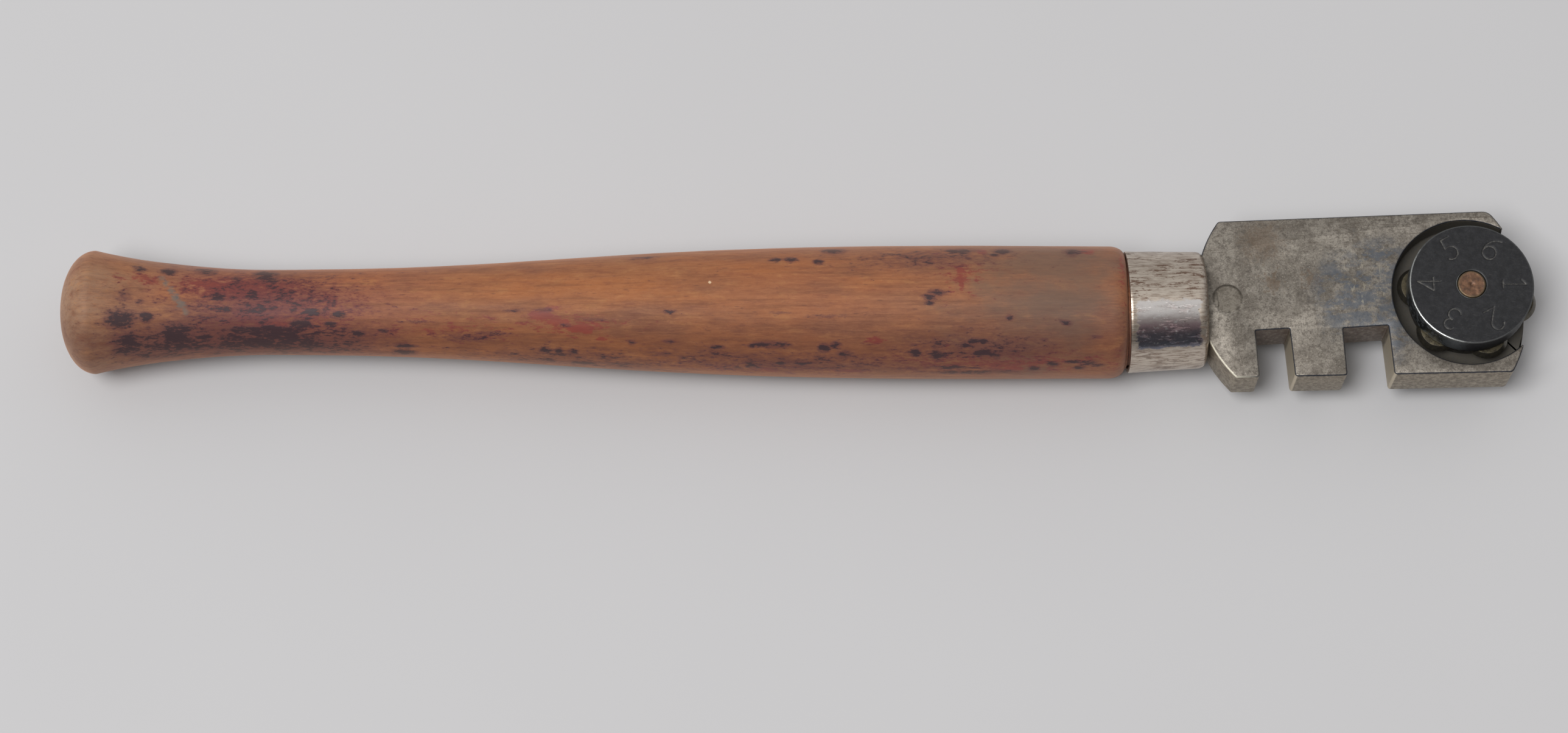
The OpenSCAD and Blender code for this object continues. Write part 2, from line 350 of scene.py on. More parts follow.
def combine(piece, tool, operation):
    """Cuts or joins a piece with a tool, and removes the tool."""
    modifier = piece.modifiers.new("combine", "BOOLEAN")
    modifier.operation = operation
    modifier.solver = "EXACT"
    modifier.object = tool
    bpy.context.view_layer.update()
    apply_modifiers(piece)
    bpy.data.objects.remove(tool)


def cylinder(radius, z0, z1, place, around=64, at=(0, 0)):
    """A cutting cylinder along Z."""
    piece = turned("tool", [(z0, radius), (z1, radius)], place, around, loop=False)
    piece.matrix_world = place @ Matrix.Translation(Vector((at[0], at[1], 0)) * MM)
    return piece


def round_edges(piece, width):
    """Rounds every edge sharper than 30 degrees."""
    modifier = piece.modifiers.new("round", "BEVEL")
    modifier.width = width * MM
    modifier.segments = 3
    modifier.limit_method = "ANGLE"
    modifier.angle_limit = math.radians(30)
    modifier.use_clamp_overlap = False
    modifier.harden_normals = False
    apply_modifiers(piece)


def add_values(piece, name, values):
    """Stores one number per vertex for the material."""
    attribute = piece.data.attributes.new(name, "FLOAT", "POINT")
    attribute.data.foreach_set("value", np.asarray(values, np.float32))


def points_of(piece):
    """The piece's vertices in millimetres, in its own frame."""
    co = np.empty(len(piece.data.vertices) * 3, np.float32)
    piece.data.vertices.foreach_get("co", co)
    return co.reshape(-1, 3).astype(float) / MM


def move_points(piece, points):
    piece.data.vertices.foreach_set("co", (points * MM).astype(np.float32).ravel())
    piece.data.update()


def noise_at(points, scale, octaves=2, seed=0.0):
    """Smooth noise, about -1 to 1, at each point after multiplying it by scale."""
    scaled = points * np.array(scale, float) + seed
    return np.array([noise.fractal(p, 1.0, 2.0, octaves) for p in scaled])


def finish_piece(piece, body, nodes, material):
    """Squares the piece's frame with the scene and puts it on its body, in place of its CAD nodes."""
    place = piece.matrix_world.copy()
    piece.data.transform(place.to_3x3().to_4x4())
    piece.matrix_world = Matrix.Translation(place.translation)
    piece.data.materials.clear()
    piece.data.materials.append(material)
    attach(piece, body)
    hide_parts(*nodes)


# ---- materials ----


def tone(red, green, blue):
    """Linear colour from sRGB values of 0 to 255."""
    def linear(value):
        share = value / 255
        return share / 12.92 if share <= 0.04045 else ((share + 0.055) / 1.055) ** 2.4
    return (linear(red), linear(green), linear(blue), 1.0)


class Surface:
    """A material's node graph, with short calls for the nodes it uses."""

    def __init__(self, name, turn=0.0):
        """The turn is how far the part's own frame is turned about Z, in radians."""
        self.material = bpy.data.materials.new(name)
        self.material.use_nodes = True
        self.tree = self.material.node_tree
        self.tree.nodes.clear()
        self.shader = self.node("ShaderNodeBsdfPrincipled")
        self.feed(self.node("ShaderNodeOutputMaterial").inputs["Surface"], self.shader.outputs[0])
        straight = self.node("ShaderNodeVectorRotate")
        straight.rotation_type = "Z_AXIS"
        straight.inputs["Angle"].default_value = -turn
        self.feed(straight.inputs["Vector"], self.node("ShaderNodeTexCoord").outputs["Object"])
        self.place = self.vector("SCALE", straight.outputs[0], scale=1 / MM)
        axes = self.node("ShaderNodeSeparateXYZ")
        self.feed(axes.inputs[0], self.place)
        self.x, self.y, self.z = axes.outputs

    def node(self, kind):
        return self.tree.nodes.new(kind)

    def feed(self, socket, value):
        if isinstance(value, bpy.types.NodeSocket):
            self.tree.links.new(value, socket)
        else:
            socket.default_value = value

    def vector(self, operation, a, b=None, scale=None):
        node = self.node("ShaderNodeVectorMath")
        node.operation = operation
        self.feed(node.inputs[0], a)
        if b is not None:
            self.feed(node.inputs[1], b)
        if scale is not None:
            self.feed(node.inputs["Scale"], scale)
        return node.outputs["Value"] if operation == "DISTANCE" else node.outputs[0]

    def math(self, operation, a, b=0.0, c=0.0):
        node = self.node("ShaderNodeMath")
        node.operation = operation
        for socket, value in zip(node.inputs, (a, b, c)):
            self.feed(socket, value)
        return node.outputs[0]

    def add(self, a, b):
        return self.math("ADD", a, b)

    def times(self, product, *others):
        """Product of two or more values."""
        for other in others:
            product = self.math("MULTIPLY", product, other)
        return product

    def ruffle(self, value, texture, amount):
        """The value, made uneven by a texture that lies round 0.5."""
        return self.add(value, self.times(self.add(texture, -0.5), amount))

    def step(self, value, low, high, to_low=0.0, to_high=1.0):
        """Smooth step of the value between low and high."""
        node = self.node("ShaderNodeMapRange")
        node.interpolation_type = "SMOOTHSTEP"
        for key, number in (("From Min", low), ("From Max", high), ("To Min", to_low), ("To Max", to_high)):
            self.feed(node.inputs[key], number)
        self.feed(node.inputs["Value"], value)
        return node.outputs[0]

    def fall(self, value, low, high):
        """1 up to low, and 0 from high on."""
        return self.step(value, low, high, 1.0, 0.0)

    def band(self, value, low, high, soft):
        """1 between low and high, 0 outside, with soft ends."""
        rise = self.step(value, low - soft, low + soft)
        return self.times(rise, self.fall(value, high - soft, high + soft))

    def reach(self, x, y):
        """Distance from the line along Z through this point."""
        return self.vector("DISTANCE", self.vector("MULTIPLY", self.place, (1, 1, 0)), (x, y, 0))

    def noise(self, scale, stretch=(1, 1, 1), detail=3.0, rough=0.55, shift=0.0):
        """Noise of about 0.5 +- 0.3, with scale in cells per millimetre."""
        node = self.node("ShaderNodeTexNoise")
        place = self.vector("MULTIPLY", self.place, stretch)
        self.feed(node.inputs["Vector"], self.vector("ADD", place, (shift, shift * 1.7, shift * 0.6)))
        for key, number in (("Scale", scale), ("Detail", detail), ("Roughness", rough)):
            self.feed(node.inputs[key], number)
        return node.outputs["Fac"]

    def cells(self, scale, stretch, shift):
        """Distance to the nearest cell point, with scale in cells per millimetre."""
        node = self.node("ShaderNodeTexVoronoi")
        place = self.vector("MULTIPLY", self.place, stretch)
        self.feed(node.inputs["Vector"], self.vector("ADD", place, (shift, shift * 1.3, shift * 0.7)))
        self.feed(node.inputs["Scale"], scale)
        return node.outputs["Distance"]

    def stored(self, name):
        """A number that the mesh stores at each vertex."""
        node = self.node("ShaderNodeAttribute")
        node.attribute_name = name
        return node.outputs["Fac"]

    def mix(self, share, a, b):
        node = self.node("ShaderNodeMix")
        node.data_type = "RGBA"
        self.feed(node.inputs[0], share)
        self.feed(node.inputs[6], a)
        self.feed(node.inputs[7], b)
        return node.outputs[2]

    def coats(self, colour, *layers):
        """The colour with layers over it, each given as its share and its colour."""
        for share, paint in layers:
            colour = self.mix(share, colour, paint)
        return colour

    def ramp(self, value, *stops):
        """Colour by value. Stops are (place, colour)."""
        node = self.node("ShaderNodeValToRGB")
        elements = node.color_ramp.elements
        while len(elements) < len(stops):
            elements.new(0.5)
        for element, (place, colour) in zip(elements, stops):
            element.position = place
            element.color = colour
        self.feed(node.inputs[0], value)
        return node.outputs[0]

    def blend_number(self, share, a, b):
        """A number that goes from a to b with the share."""
        return self.math("MULTIPLY_ADD", share, b - a, a)

    def bump(self, height, distance, strength=0.5):
        """Bump with the height in units of distance millimetres."""
        node = self.node("ShaderNodeBump")
        self.feed(node.inputs["Strength"], strength)
        self.feed(node.inputs["Distance"], distance * MM)
        self.feed(node.inputs["Height"], height)
        return node.outputs[0]

    def finish(self, **inputs):
        for key, value in inputs.items():
            self.feed(self.shader.inputs[key.replace("_", " ")], value)
        return self.material


def wood_material():
    """Worn beech with remains of dark red lacquer, greyer where the hand has soiled it."""
    s = Surface("worn_beech")
    base = s.ramp(
        s.math("DIVIDE", s.x, -HANDLE_LEN),
        (0.00, tone(124, 84, 68)),
        (0.07, tone(130, 88, 70)),
        (0.17, tone(138, 92, 68)),
        (0.30, tone(148, 92, 62)),
        (0.45, tone(150, 96, 62)),
        (0.62, tone(154, 98, 64)),
        (0.74, tone(144, 88, 70)),
        (0.84, tone(134, 80, 70)),
        (0.94, tone(140, 102, 78)),
        (1.00, tone(160, 130, 106)),
    )
    drift = s.noise(0.22, (0.35, 1, 1), detail=2, shift=3.1)
    drift_dark = s.noise(0.4, (0.3, 1, 1), detail=4, shift=11.0)
    patches = s.noise(1.1, (0.4, 1, 1), detail=5, rough=0.65, shift=17.0)
    grain = s.noise(2.6, (0.05, 1, 1), detail=4, rough=0.6)
    fine = s.noise(7, (0.12, 1, 1), detail=4, rough=0.75, shift=5)
    grit = s.noise(9, (0.5, 1, 1), detail=3, rough=0.8, shift=8)
    flecks = s.cells(1.9, (0.24, 1, 1), 2.0)
    cast = s.step(s.ruffle(s.stored("cast"), s.noise(0.55, (0.5, 1, 1), detail=5), 1.5), 0.2, 1.1)
    # Painted shade, with some grime: darker brown on the handle's lower side, most at the waist.
    grime_and_shade = s.ruffle(s.stored("grime_and_shade"), patches, 0.6)
    base = s.coats(
        base,
        (s.step(drift, 0.35, 0.7, 0.0, 0.6), tone(168, 102, 58)),
        (s.step(drift_dark, 0.48, 0.72, 0.0, 0.55), tone(112, 74, 60)),
        (s.step(patches, 0.5, 0.72, 0.0, 0.5), tone(118, 66, 50)),
        (s.step(patches, 0.3, 0.46, 0.35, 0.0), tone(176, 124, 78)),
        (s.step(grain, 0.42, 0.72, 0.0, 0.45), tone(104, 64, 48)),
        (s.step(fine, 0.4, 0.75, 0.0, 0.35), tone(184, 126, 86)),
        (s.step(grit, 0.56, 0.74, 0.0, 0.5), tone(96, 62, 52)),
        (s.step(flecks, 0.05, 0.17, 0.45, 0.0), tone(96, 58, 48)),
        (s.times(cast, 0.65), tone(104, 88, 76)),
        (s.step(grime_and_shade, 0.1, 1.0, 0.0, 0.6), tone(92, 54, 44)),
    )

    coarse = s.add(s.noise(1.4, (0.5, 1, 1), detail=4, rough=0.6, shift=21.0), -0.5)
    torn = s.add(s.noise(4.6, (0.38, 1, 1), detail=4, rough=0.7), -0.5)
    ragged = s.add(s.times(coarse, 1.2), s.times(torn, 1.5))
    red = s.step(s.add(s.stored("lacquer"), ragged), 0.34, 0.66)
    red_colour = s.mix(s.noise(1.1, (0.4, 1, 1), detail=3), tone(110, 42, 48), tone(146, 60, 48))
    halo = s.step(s.add(s.stored("stain"), s.times(ragged, 0.6)), 0.07, 0.5)
    dark = s.step(s.add(s.stored("stain"), s.times(ragged, 1.25)), 0.4, 0.8)
    scuff = s.step(s.add(s.stored("scuff"), s.times(torn, 1.6)), 0.35, 0.95)
    base = s.coats(
        base,
        (s.times(red, 0.72), red_colour),
        (s.times(halo, 0.62), tone(92, 54, 56)),
        (s.times(dark, 0.88), tone(50, 38, 44)),
        (s.times(scuff, 0.55), tone(100, 106, 100)),
        (s.step(s.stored("chip"), 0.45, 0.75), tone(214, 184, 150)),
    )

    relief = s.add(s.add(s.times(grain, 0.5), s.times(fine, 0.3)), s.times(dark, 0.35))
    return s.finish(
        Base_Color=base, Roughness=s.ruffle(s.blend_number(red, 0.62, 0.54), grain, 0.2),
        Normal=s.bump(relief, 0.03, 0.6), Specular_IOR_Level=0.28,
        Sheen_Weight=0.36, Sheen_Roughness=0.45, Sheen_Tint=tone(232, 186, 162),
    )


def ferrule_material():
    """Old nickel plate: dull with brown lengthwise streaks, polished along one side, where a painted
    reflection runs from a dark band to a white highlight band.
    """
    s = Surface("old_nickel", HEAD_LEAN)
    bright_from = math.radians(-56)
    bright_to = math.radians(-8)
    edge_noise = s.noise(1.6, (0.6, 1, 1), detail=5, rough=0.65)
    around = s.ruffle(s.math("ARCTAN2", s.y, s.z), edge_noise, 0.22)
    ends = s.band(s.ruffle(s.x, edge_noise, 1.4), 0.75, FRONT_X - 0.8, 0.1)
    polish_and_reflection_band = s.times(s.band(around, bright_from, bright_to, 0.02), ends)
    blotch = s.noise(1.6, (0.35, 1, 1), detail=5, rough=0.65, shift=4)
    streaks = s.noise(5.5, (0.13, 1, 1), detail=4, rough=0.68, shift=1)
    fine = s.noise(8.0, (0.45, 1, 1), detail=4, rough=0.75, shift=9)
    worn = s.add(s.times(streaks, 0.6), s.times(fine, 0.4))
    brown_mask = s.step(s.ruffle(worn, blotch, 1.0), 0.54, 0.64)
    brown_mask = s.times(brown_mask, s.step(around, -0.35, 0.1, 0.55, 1.0))
    dull = s.mix(s.step(streaks, 0.4, 0.62), tone(208, 196, 182), tone(170, 154, 140))
    dull = s.mix(s.times(brown_mask, 0.9), dull, tone(92, 66, 50))
    # Painted reflection across the polished band: the ramp runs from a dark navy band up to a white highlight
    # band, with tarnish blotches and pale flecks over it.
    reflection_and_tarnish = s.coats(
        s.ramp(
            s.step(around, bright_from, bright_to),
            (0.00, tone(124, 125, 136)),
            (0.22, tone(140, 132, 140)),
            (0.45, tone(186, 160, 164)),
            (0.68, tone(204, 192, 188)),
            (0.85, tone(240, 234, 230)),
        ),
        (s.step(blotch, 0.46, 0.7, 0.0, 0.55), tone(126, 100, 96)),
        (s.step(s.noise(2.2, detail=4, shift=12), 0.58, 0.72, 0.0, 0.6), tone(232, 228, 226)),
    )
    pits = s.fall(s.cells(2.6, (0.6, 1, 1), 6), 0.06, 0.16)
    pits = s.times(pits, s.step(s.ruffle(s.x, edge_noise, 3), 2.5, 5.0, 0.3, 1.0))
    colour = s.mix(s.times(pits, 0.6), s.mix(polish_and_reflection_band, dull, reflection_and_tarnish), tone(78, 56, 44))
    rough = s.add(s.blend_number(polish_and_reflection_band, 0.34, 0.17), s.times(brown_mask, 0.2))
    normal = s.bump(s.add(s.times(streaks, 0.6), s.times(pits, -0.4)), 0.012)
    metal = s.blend_number(brown_mask, 0.92, 0.35)
    return s.finish(Base_Color=colour, Roughness=rough, Metallic=metal, Normal=normal)


def casting_material():
    """Worn plated casting: warm grey, mottled, bluish near the turret, rusty in the notches."""
    s = Surface("worn_casting", HEAD_LEAN)
    cloud = s.noise(0.5, detail=5, rough=0.62, shift=1)
    mottle = s.noise(2.4, detail=6, rough=0.72, shift=2)
    speck = s.noise(7.0, detail=4, rough=0.78, shift=3)
    colour = s.coats(
        s.mix(s.step(cloud, 0.38, 0.62), tone(118, 111, 102), tone(148, 141, 131)),
        (s.step(mottle, 0.47, 0.62, 0.0, 0.62), tone(88, 81, 74)),
        (s.step(speck, 0.5, 0.66, 0.0, 0.7), tone(76, 68, 60)),
        (s.step(speck, 0.34, 0.42, 0.5, 0.0), tone(186, 178, 164)),
    )
    for spot_x, spot_y, size in ((12.4, 5.6, 2.6), (13.1, 1.6, 1.1), (16.4, 2.0, 0.9)):
        brown = s.fall(s.ruffle(s.reach(spot_x, spot_y), mottle, 7), 0.2, size)
        colour = s.mix(s.times(brown, 0.55), colour, tone(96, 76, 58))

    blue_zone = s.fall(s.ruffle(s.reach(TURRET_X - 8.0, PLATE_SHIFT - 0.2), cloud, 7), 1.5, 7.0)
    broken = s.step(s.noise(1.1, (0.6, 1, 1), detail=6, rough=0.7), 0.41, 0.56)
    blue = s.times(s.step(blue_zone, 0.0, 0.8, 0.25, 1.0), broken, s.step(blue_zone, 0.0, 0.25))
    colour = s.mix(s.times(blue, 0.66), colour, tone(92, 100, 111))

    level = s.math("ABSOLUTE", s.z)
    wall = s.fall(level, FACE_Z - 0.16, FACE_Z - 0.06)
    wall_tone = s.mix(s.step(mottle, 0.36, 0.6), tone(178, 166, 146), tone(136, 125, 110))
    wall_tone = s.mix(s.step(speck, 0.52, 0.68, 0.0, 0.5), wall_tone, tone(96, 86, 74))
    mark = s.reach(MARK_X, PLATE_SHIFT)
    # Painted reflections on the bevel round the top face: a dark bluish line all round, and a white painted
    # highlight along the lower-left root arc.
    bevel_reflection_band = s.band(level, FACE_Z - 0.13, FACE_Z - 0.02, 0.02)
    bevel_reflection_band = s.times(bevel_reflection_band, s.step(mark, MARK_R, MARK_R + 0.1))
    painted_highlight_arc = s.times(bevel_reflection_band, s.fall(s.x, 8.6, 12.0), s.fall(s.y, -4.2, -3.0))
    colour = s.coats(
        colour,
        (s.times(wall, 0.75), wall_tone),
        (s.times(bevel_reflection_band, s.step(mottle, 0.3, 0.55, 0.7, 1.0)), tone(52, 57, 68)),
        (painted_highlight_arc, tone(255, 248, 226)),
    )
    # Painted light: the notches' right-hand walls, which face the light from the left, are painted bright.
    for notch_x, width in NOTCHES:
        painted_lit_wall = s.band(s.x, notch_x + width / 2 - 0.15, notch_x + width / 2 + 0.4, 0.05)
        painted_lit_wall = s.times(painted_lit_wall, wall, s.fall(s.y, -3.6, -3.2), 0.9)
        colour = s.mix(painted_lit_wall, colour, tone(208, 196, 174))
    root_y = PLATE_SHIFT - PLATE_H / 2 + NOTCH_DEPTH
    near_root = s.band(s.y, root_y - 0.12, root_y + 0.4, 0.08)
    rust = s.times(wall, near_root, s.band(s.x, NOTCHES[0][0] - 2, NOTCHES[1][0] + 2.4, 0.2))

    on_face = s.step(s.z, FACE_Z - 0.2, FACE_Z - 0.1)
    ring = s.times(s.band(mark, MARK_R - 0.14, MARK_R + 0.06, 0.06), on_face)
    ring_share = s.step(s.add(mottle, s.times(s.y, 0.12)), 0.3, 0.62, 0.15, 0.8)
    # Inside the turret's recess: dark oily grime together with painted shade under the turret.
    inside = s.times(
        s.fall(s.reach(*TURRET_AT), RECESS_R + 0.06, RECESS_R + 0.16),
        s.fall(s.z, FACE_Z - 0.22, FACE_Z - 0.1),
        s.step(s.z, BASE_Z - 0.3, BASE_Z - 0.2),
    )
    skew = s.noise(6.0, (0.5, 0.16, 1), detail=3, rough=0.6, shift=15)
    nicks = s.times(s.step(skew, 0.62, 0.68), s.fall(s.reach(21.5, 0.8), 1.0, 4.5), on_face)
    scratch = s.noise(9.0, (0.05, 1, 1), detail=3, rough=0.6, shift=7)
    scratches = s.times(s.step(scratch, 0.57, 0.64), s.step(s.y, 2.0, 6.5), on_face)
    colour = s.coats(
        colour,
        (s.times(rust, s.step(mottle, 0.3, 0.6, 0.6, 1.0)), tone(84, 68, 56)),
        (s.times(ring, ring_share), tone(72, 66, 58)),
        (s.times(s.fall(mark, MARK_R - 0.2, MARK_R - 0.1), on_face, 0.4), tone(98, 91, 80)),
        (inside, s.mix(mottle, tone(62, 61, 60), tone(84, 78, 66))),
        (s.times(nicks, 0.6), tone(176, 168, 150)),
        (s.times(scratches, 0.6), tone(82, 72, 62)),
    )
    relief = s.add(s.times(speck, 0.5), s.add(s.times(mottle, 0.7), s.times(scratches, -0.3)))
    rough = s.add(s.add(0.36, s.times(mottle, 0.26)), s.times(inside, 0.2))
    metal = s.blend_number(s.math("MAXIMUM", inside, rust), 0.75, 0.1)
    metal = s.times(metal, s.step(speck, 0.5, 0.66, 1.0, 0.7))
    return s.finish(Base_Color=colour, Roughness=rough, Metallic=metal, Normal=s.bump(relief, 0.03, 0.6))


def cap_material():
    """Blackened steel: bright where its rim has rubbed, pale in the engraved digits, with a painted highlight
    on the rim and side wall at the lower-left.
    """
    s = Surface("blackened_steel", HEAD_LEAN + TURRET_TURN)
    mottle = s.noise(2.2, detail=5, rough=0.7)
    speck = s.noise(9.0, detail=3, rough=0.7, shift=2)
    hairs = s.noise(12, (0.07, 1, 1), detail=2, shift=5)
    groove = s.step(s.ruffle(s.stored("engraved"), speck, 1.4), 0.3, 0.85)
    # Painted highlight: the rim and side wall are painted bright and glossy on the lower-left side, where the
    # light falls; round the rest of the rim only a little real rubbing shows.
    from_lit_side = s.add(s.math("ARCTAN2", s.y, s.x), math.radians(-212))
    from_lit_side = s.math("ABSOLUTE", s.math("WRAP", from_lit_side, math.pi, -math.pi))
    lit_side = s.fall(s.ruffle(from_lit_side, mottle, 0.6), 0.6, 1.15)
    rim_wear_and_highlight = s.step(s.ruffle(s.stored("rim"), speck, 0.5), 0.4, 0.8)
    rim_wear_and_highlight = s.times(rim_wear_and_highlight, s.blend_number(lit_side, 0.12, 1.0))
    wall = s.fall(s.z, TOP_Z - 0.3, TOP_Z - 0.2)
    wall_wear_and_highlight = s.times(wall, lit_side, s.step(mottle, 0.3, 0.5))
    colour = s.coats(
        s.mix(s.step(mottle, 0.35, 0.7), tone(34, 34, 36), tone(46, 46, 48)),
        (s.step(speck, 0.6, 0.74, 0.0, 0.4), tone(92, 90, 88)),
        (s.step(hairs, 0.66, 0.72, 0.0, 0.3), tone(96, 94, 92)),
        (s.times(groove, s.step(mottle, 0.36, 0.6, 0.65, 0.15)), tone(118, 115, 110)),
        (rim_wear_and_highlight, tone(168, 170, 168)),
        (s.times(wall_wear_and_highlight, 0.85), tone(160, 166, 170)),
    )
    wear_and_highlight = s.math("MAXIMUM", rim_wear_and_highlight, wall_wear_and_highlight)
    return s.finish(
        Base_Color=colour, Roughness=s.blend_number(wear_and_highlight, 0.55, 0.3), Metallic=s.blend_number(wear_and_highlight, 0.2, 1.0),
        Normal=s.bump(s.add(mottle, s.times(speck, 0.5)), 0.012), Specular_IOR_Level=0.3,
    )


def wheel_material():
    """Hardened steel wheel: an oily olive film, with ground bevels."""
    s = Surface("oily_wheel_steel")
    film = s.noise(2.8, detail=4, rough=0.65)
    colour = s.mix(s.step(film, 0.35, 0.65), tone(88, 81, 64), tone(54, 49, 41))
    edge = s.step(s.reach(0, 0), WHEEL_D / 2 - BEVEL_W - 0.05, WHEEL_D / 2 - BEVEL_W + 0.03)
    colour = s.mix(s.times(edge, 0.35), colour, tone(108, 106, 100))
    rough = s.blend_number(edge, 0.5, 0.42)
    return s.finish(Base_Color=colour, Roughness=rough, Metallic=0.85, Normal=s.bump(film, 0.01))


def steel_material(name, light, dark, rough_low, rough_high):
    """Plain worn steel in two tones."""
    s = Surface(name)
    mottle = s.noise(2.0, detail=5, rough=0.65)
    lines = s.noise(8.0, (1, 1, 0.1), detail=3, rough=0.6, shift=3)
    colour = s.mix(s.step(mottle, 0.35, 0.68), light, dark)
    colour = s.mix(s.step(lines, 0.55, 0.75, 0.0, 0.4), colour, dark)
    rough = s.blend_number(mottle, rough_low, rough_high)
    normal = s.bump(s.add(mottle, s.times(lines, 0.4)), 0.01)
    return s.finish(Base_Color=colour, Roughness=rough, Metallic=0.9, Normal=normal)


def screw_material():
    """Dull coppery brass, darker round its edge and in its marks."""
    s = Surface("coppery_brass")
    mottle = s.noise(3.2, detail=5, rough=0.65)
    colour = s.mix(s.step(mottle, 0.35, 0.65), tone(130, 97, 76), tone(96, 74, 62))
    rim = s.step(s.reach(0, 0), SCREW_D / 2 - 0.3, SCREW_D / 2, 0.0, 0.6)
    rim = s.times(rim, s.step(s.z, TOP_Z - 0.4, TOP_Z - 0.2))
    colour = s.mix(rim, colour, tone(110, 102, 78))
    rough = s.blend_number(mottle, 0.36, 0.61)
    return s.finish(Base_Color=colour, Roughness=rough, Metallic=0.8, Normal=s.bump(mottle, 0.03, 0.7))


WOOD = wood_material()
NICKEL = ferrule_material()
CASTING = casting_material()
BLACK = cap_material()
WHEEL_STEEL = wheel_material()
PIN_STEEL = steel_material("pin_steel", tone(166, 164, 160), tone(120, 116, 110), 0.3, 0.5)
BASE_STEEL = steel_material("dark_base_steel", tone(92, 90, 88), tone(60, 58, 56), 0.4, 0.6)
WASHER_STEEL = steel_material("zinc_washer", tone(178, 176, 172), tone(136, 132, 124), 0.32, 0.5)
COPPER = screw_material()

# ---- handle ----

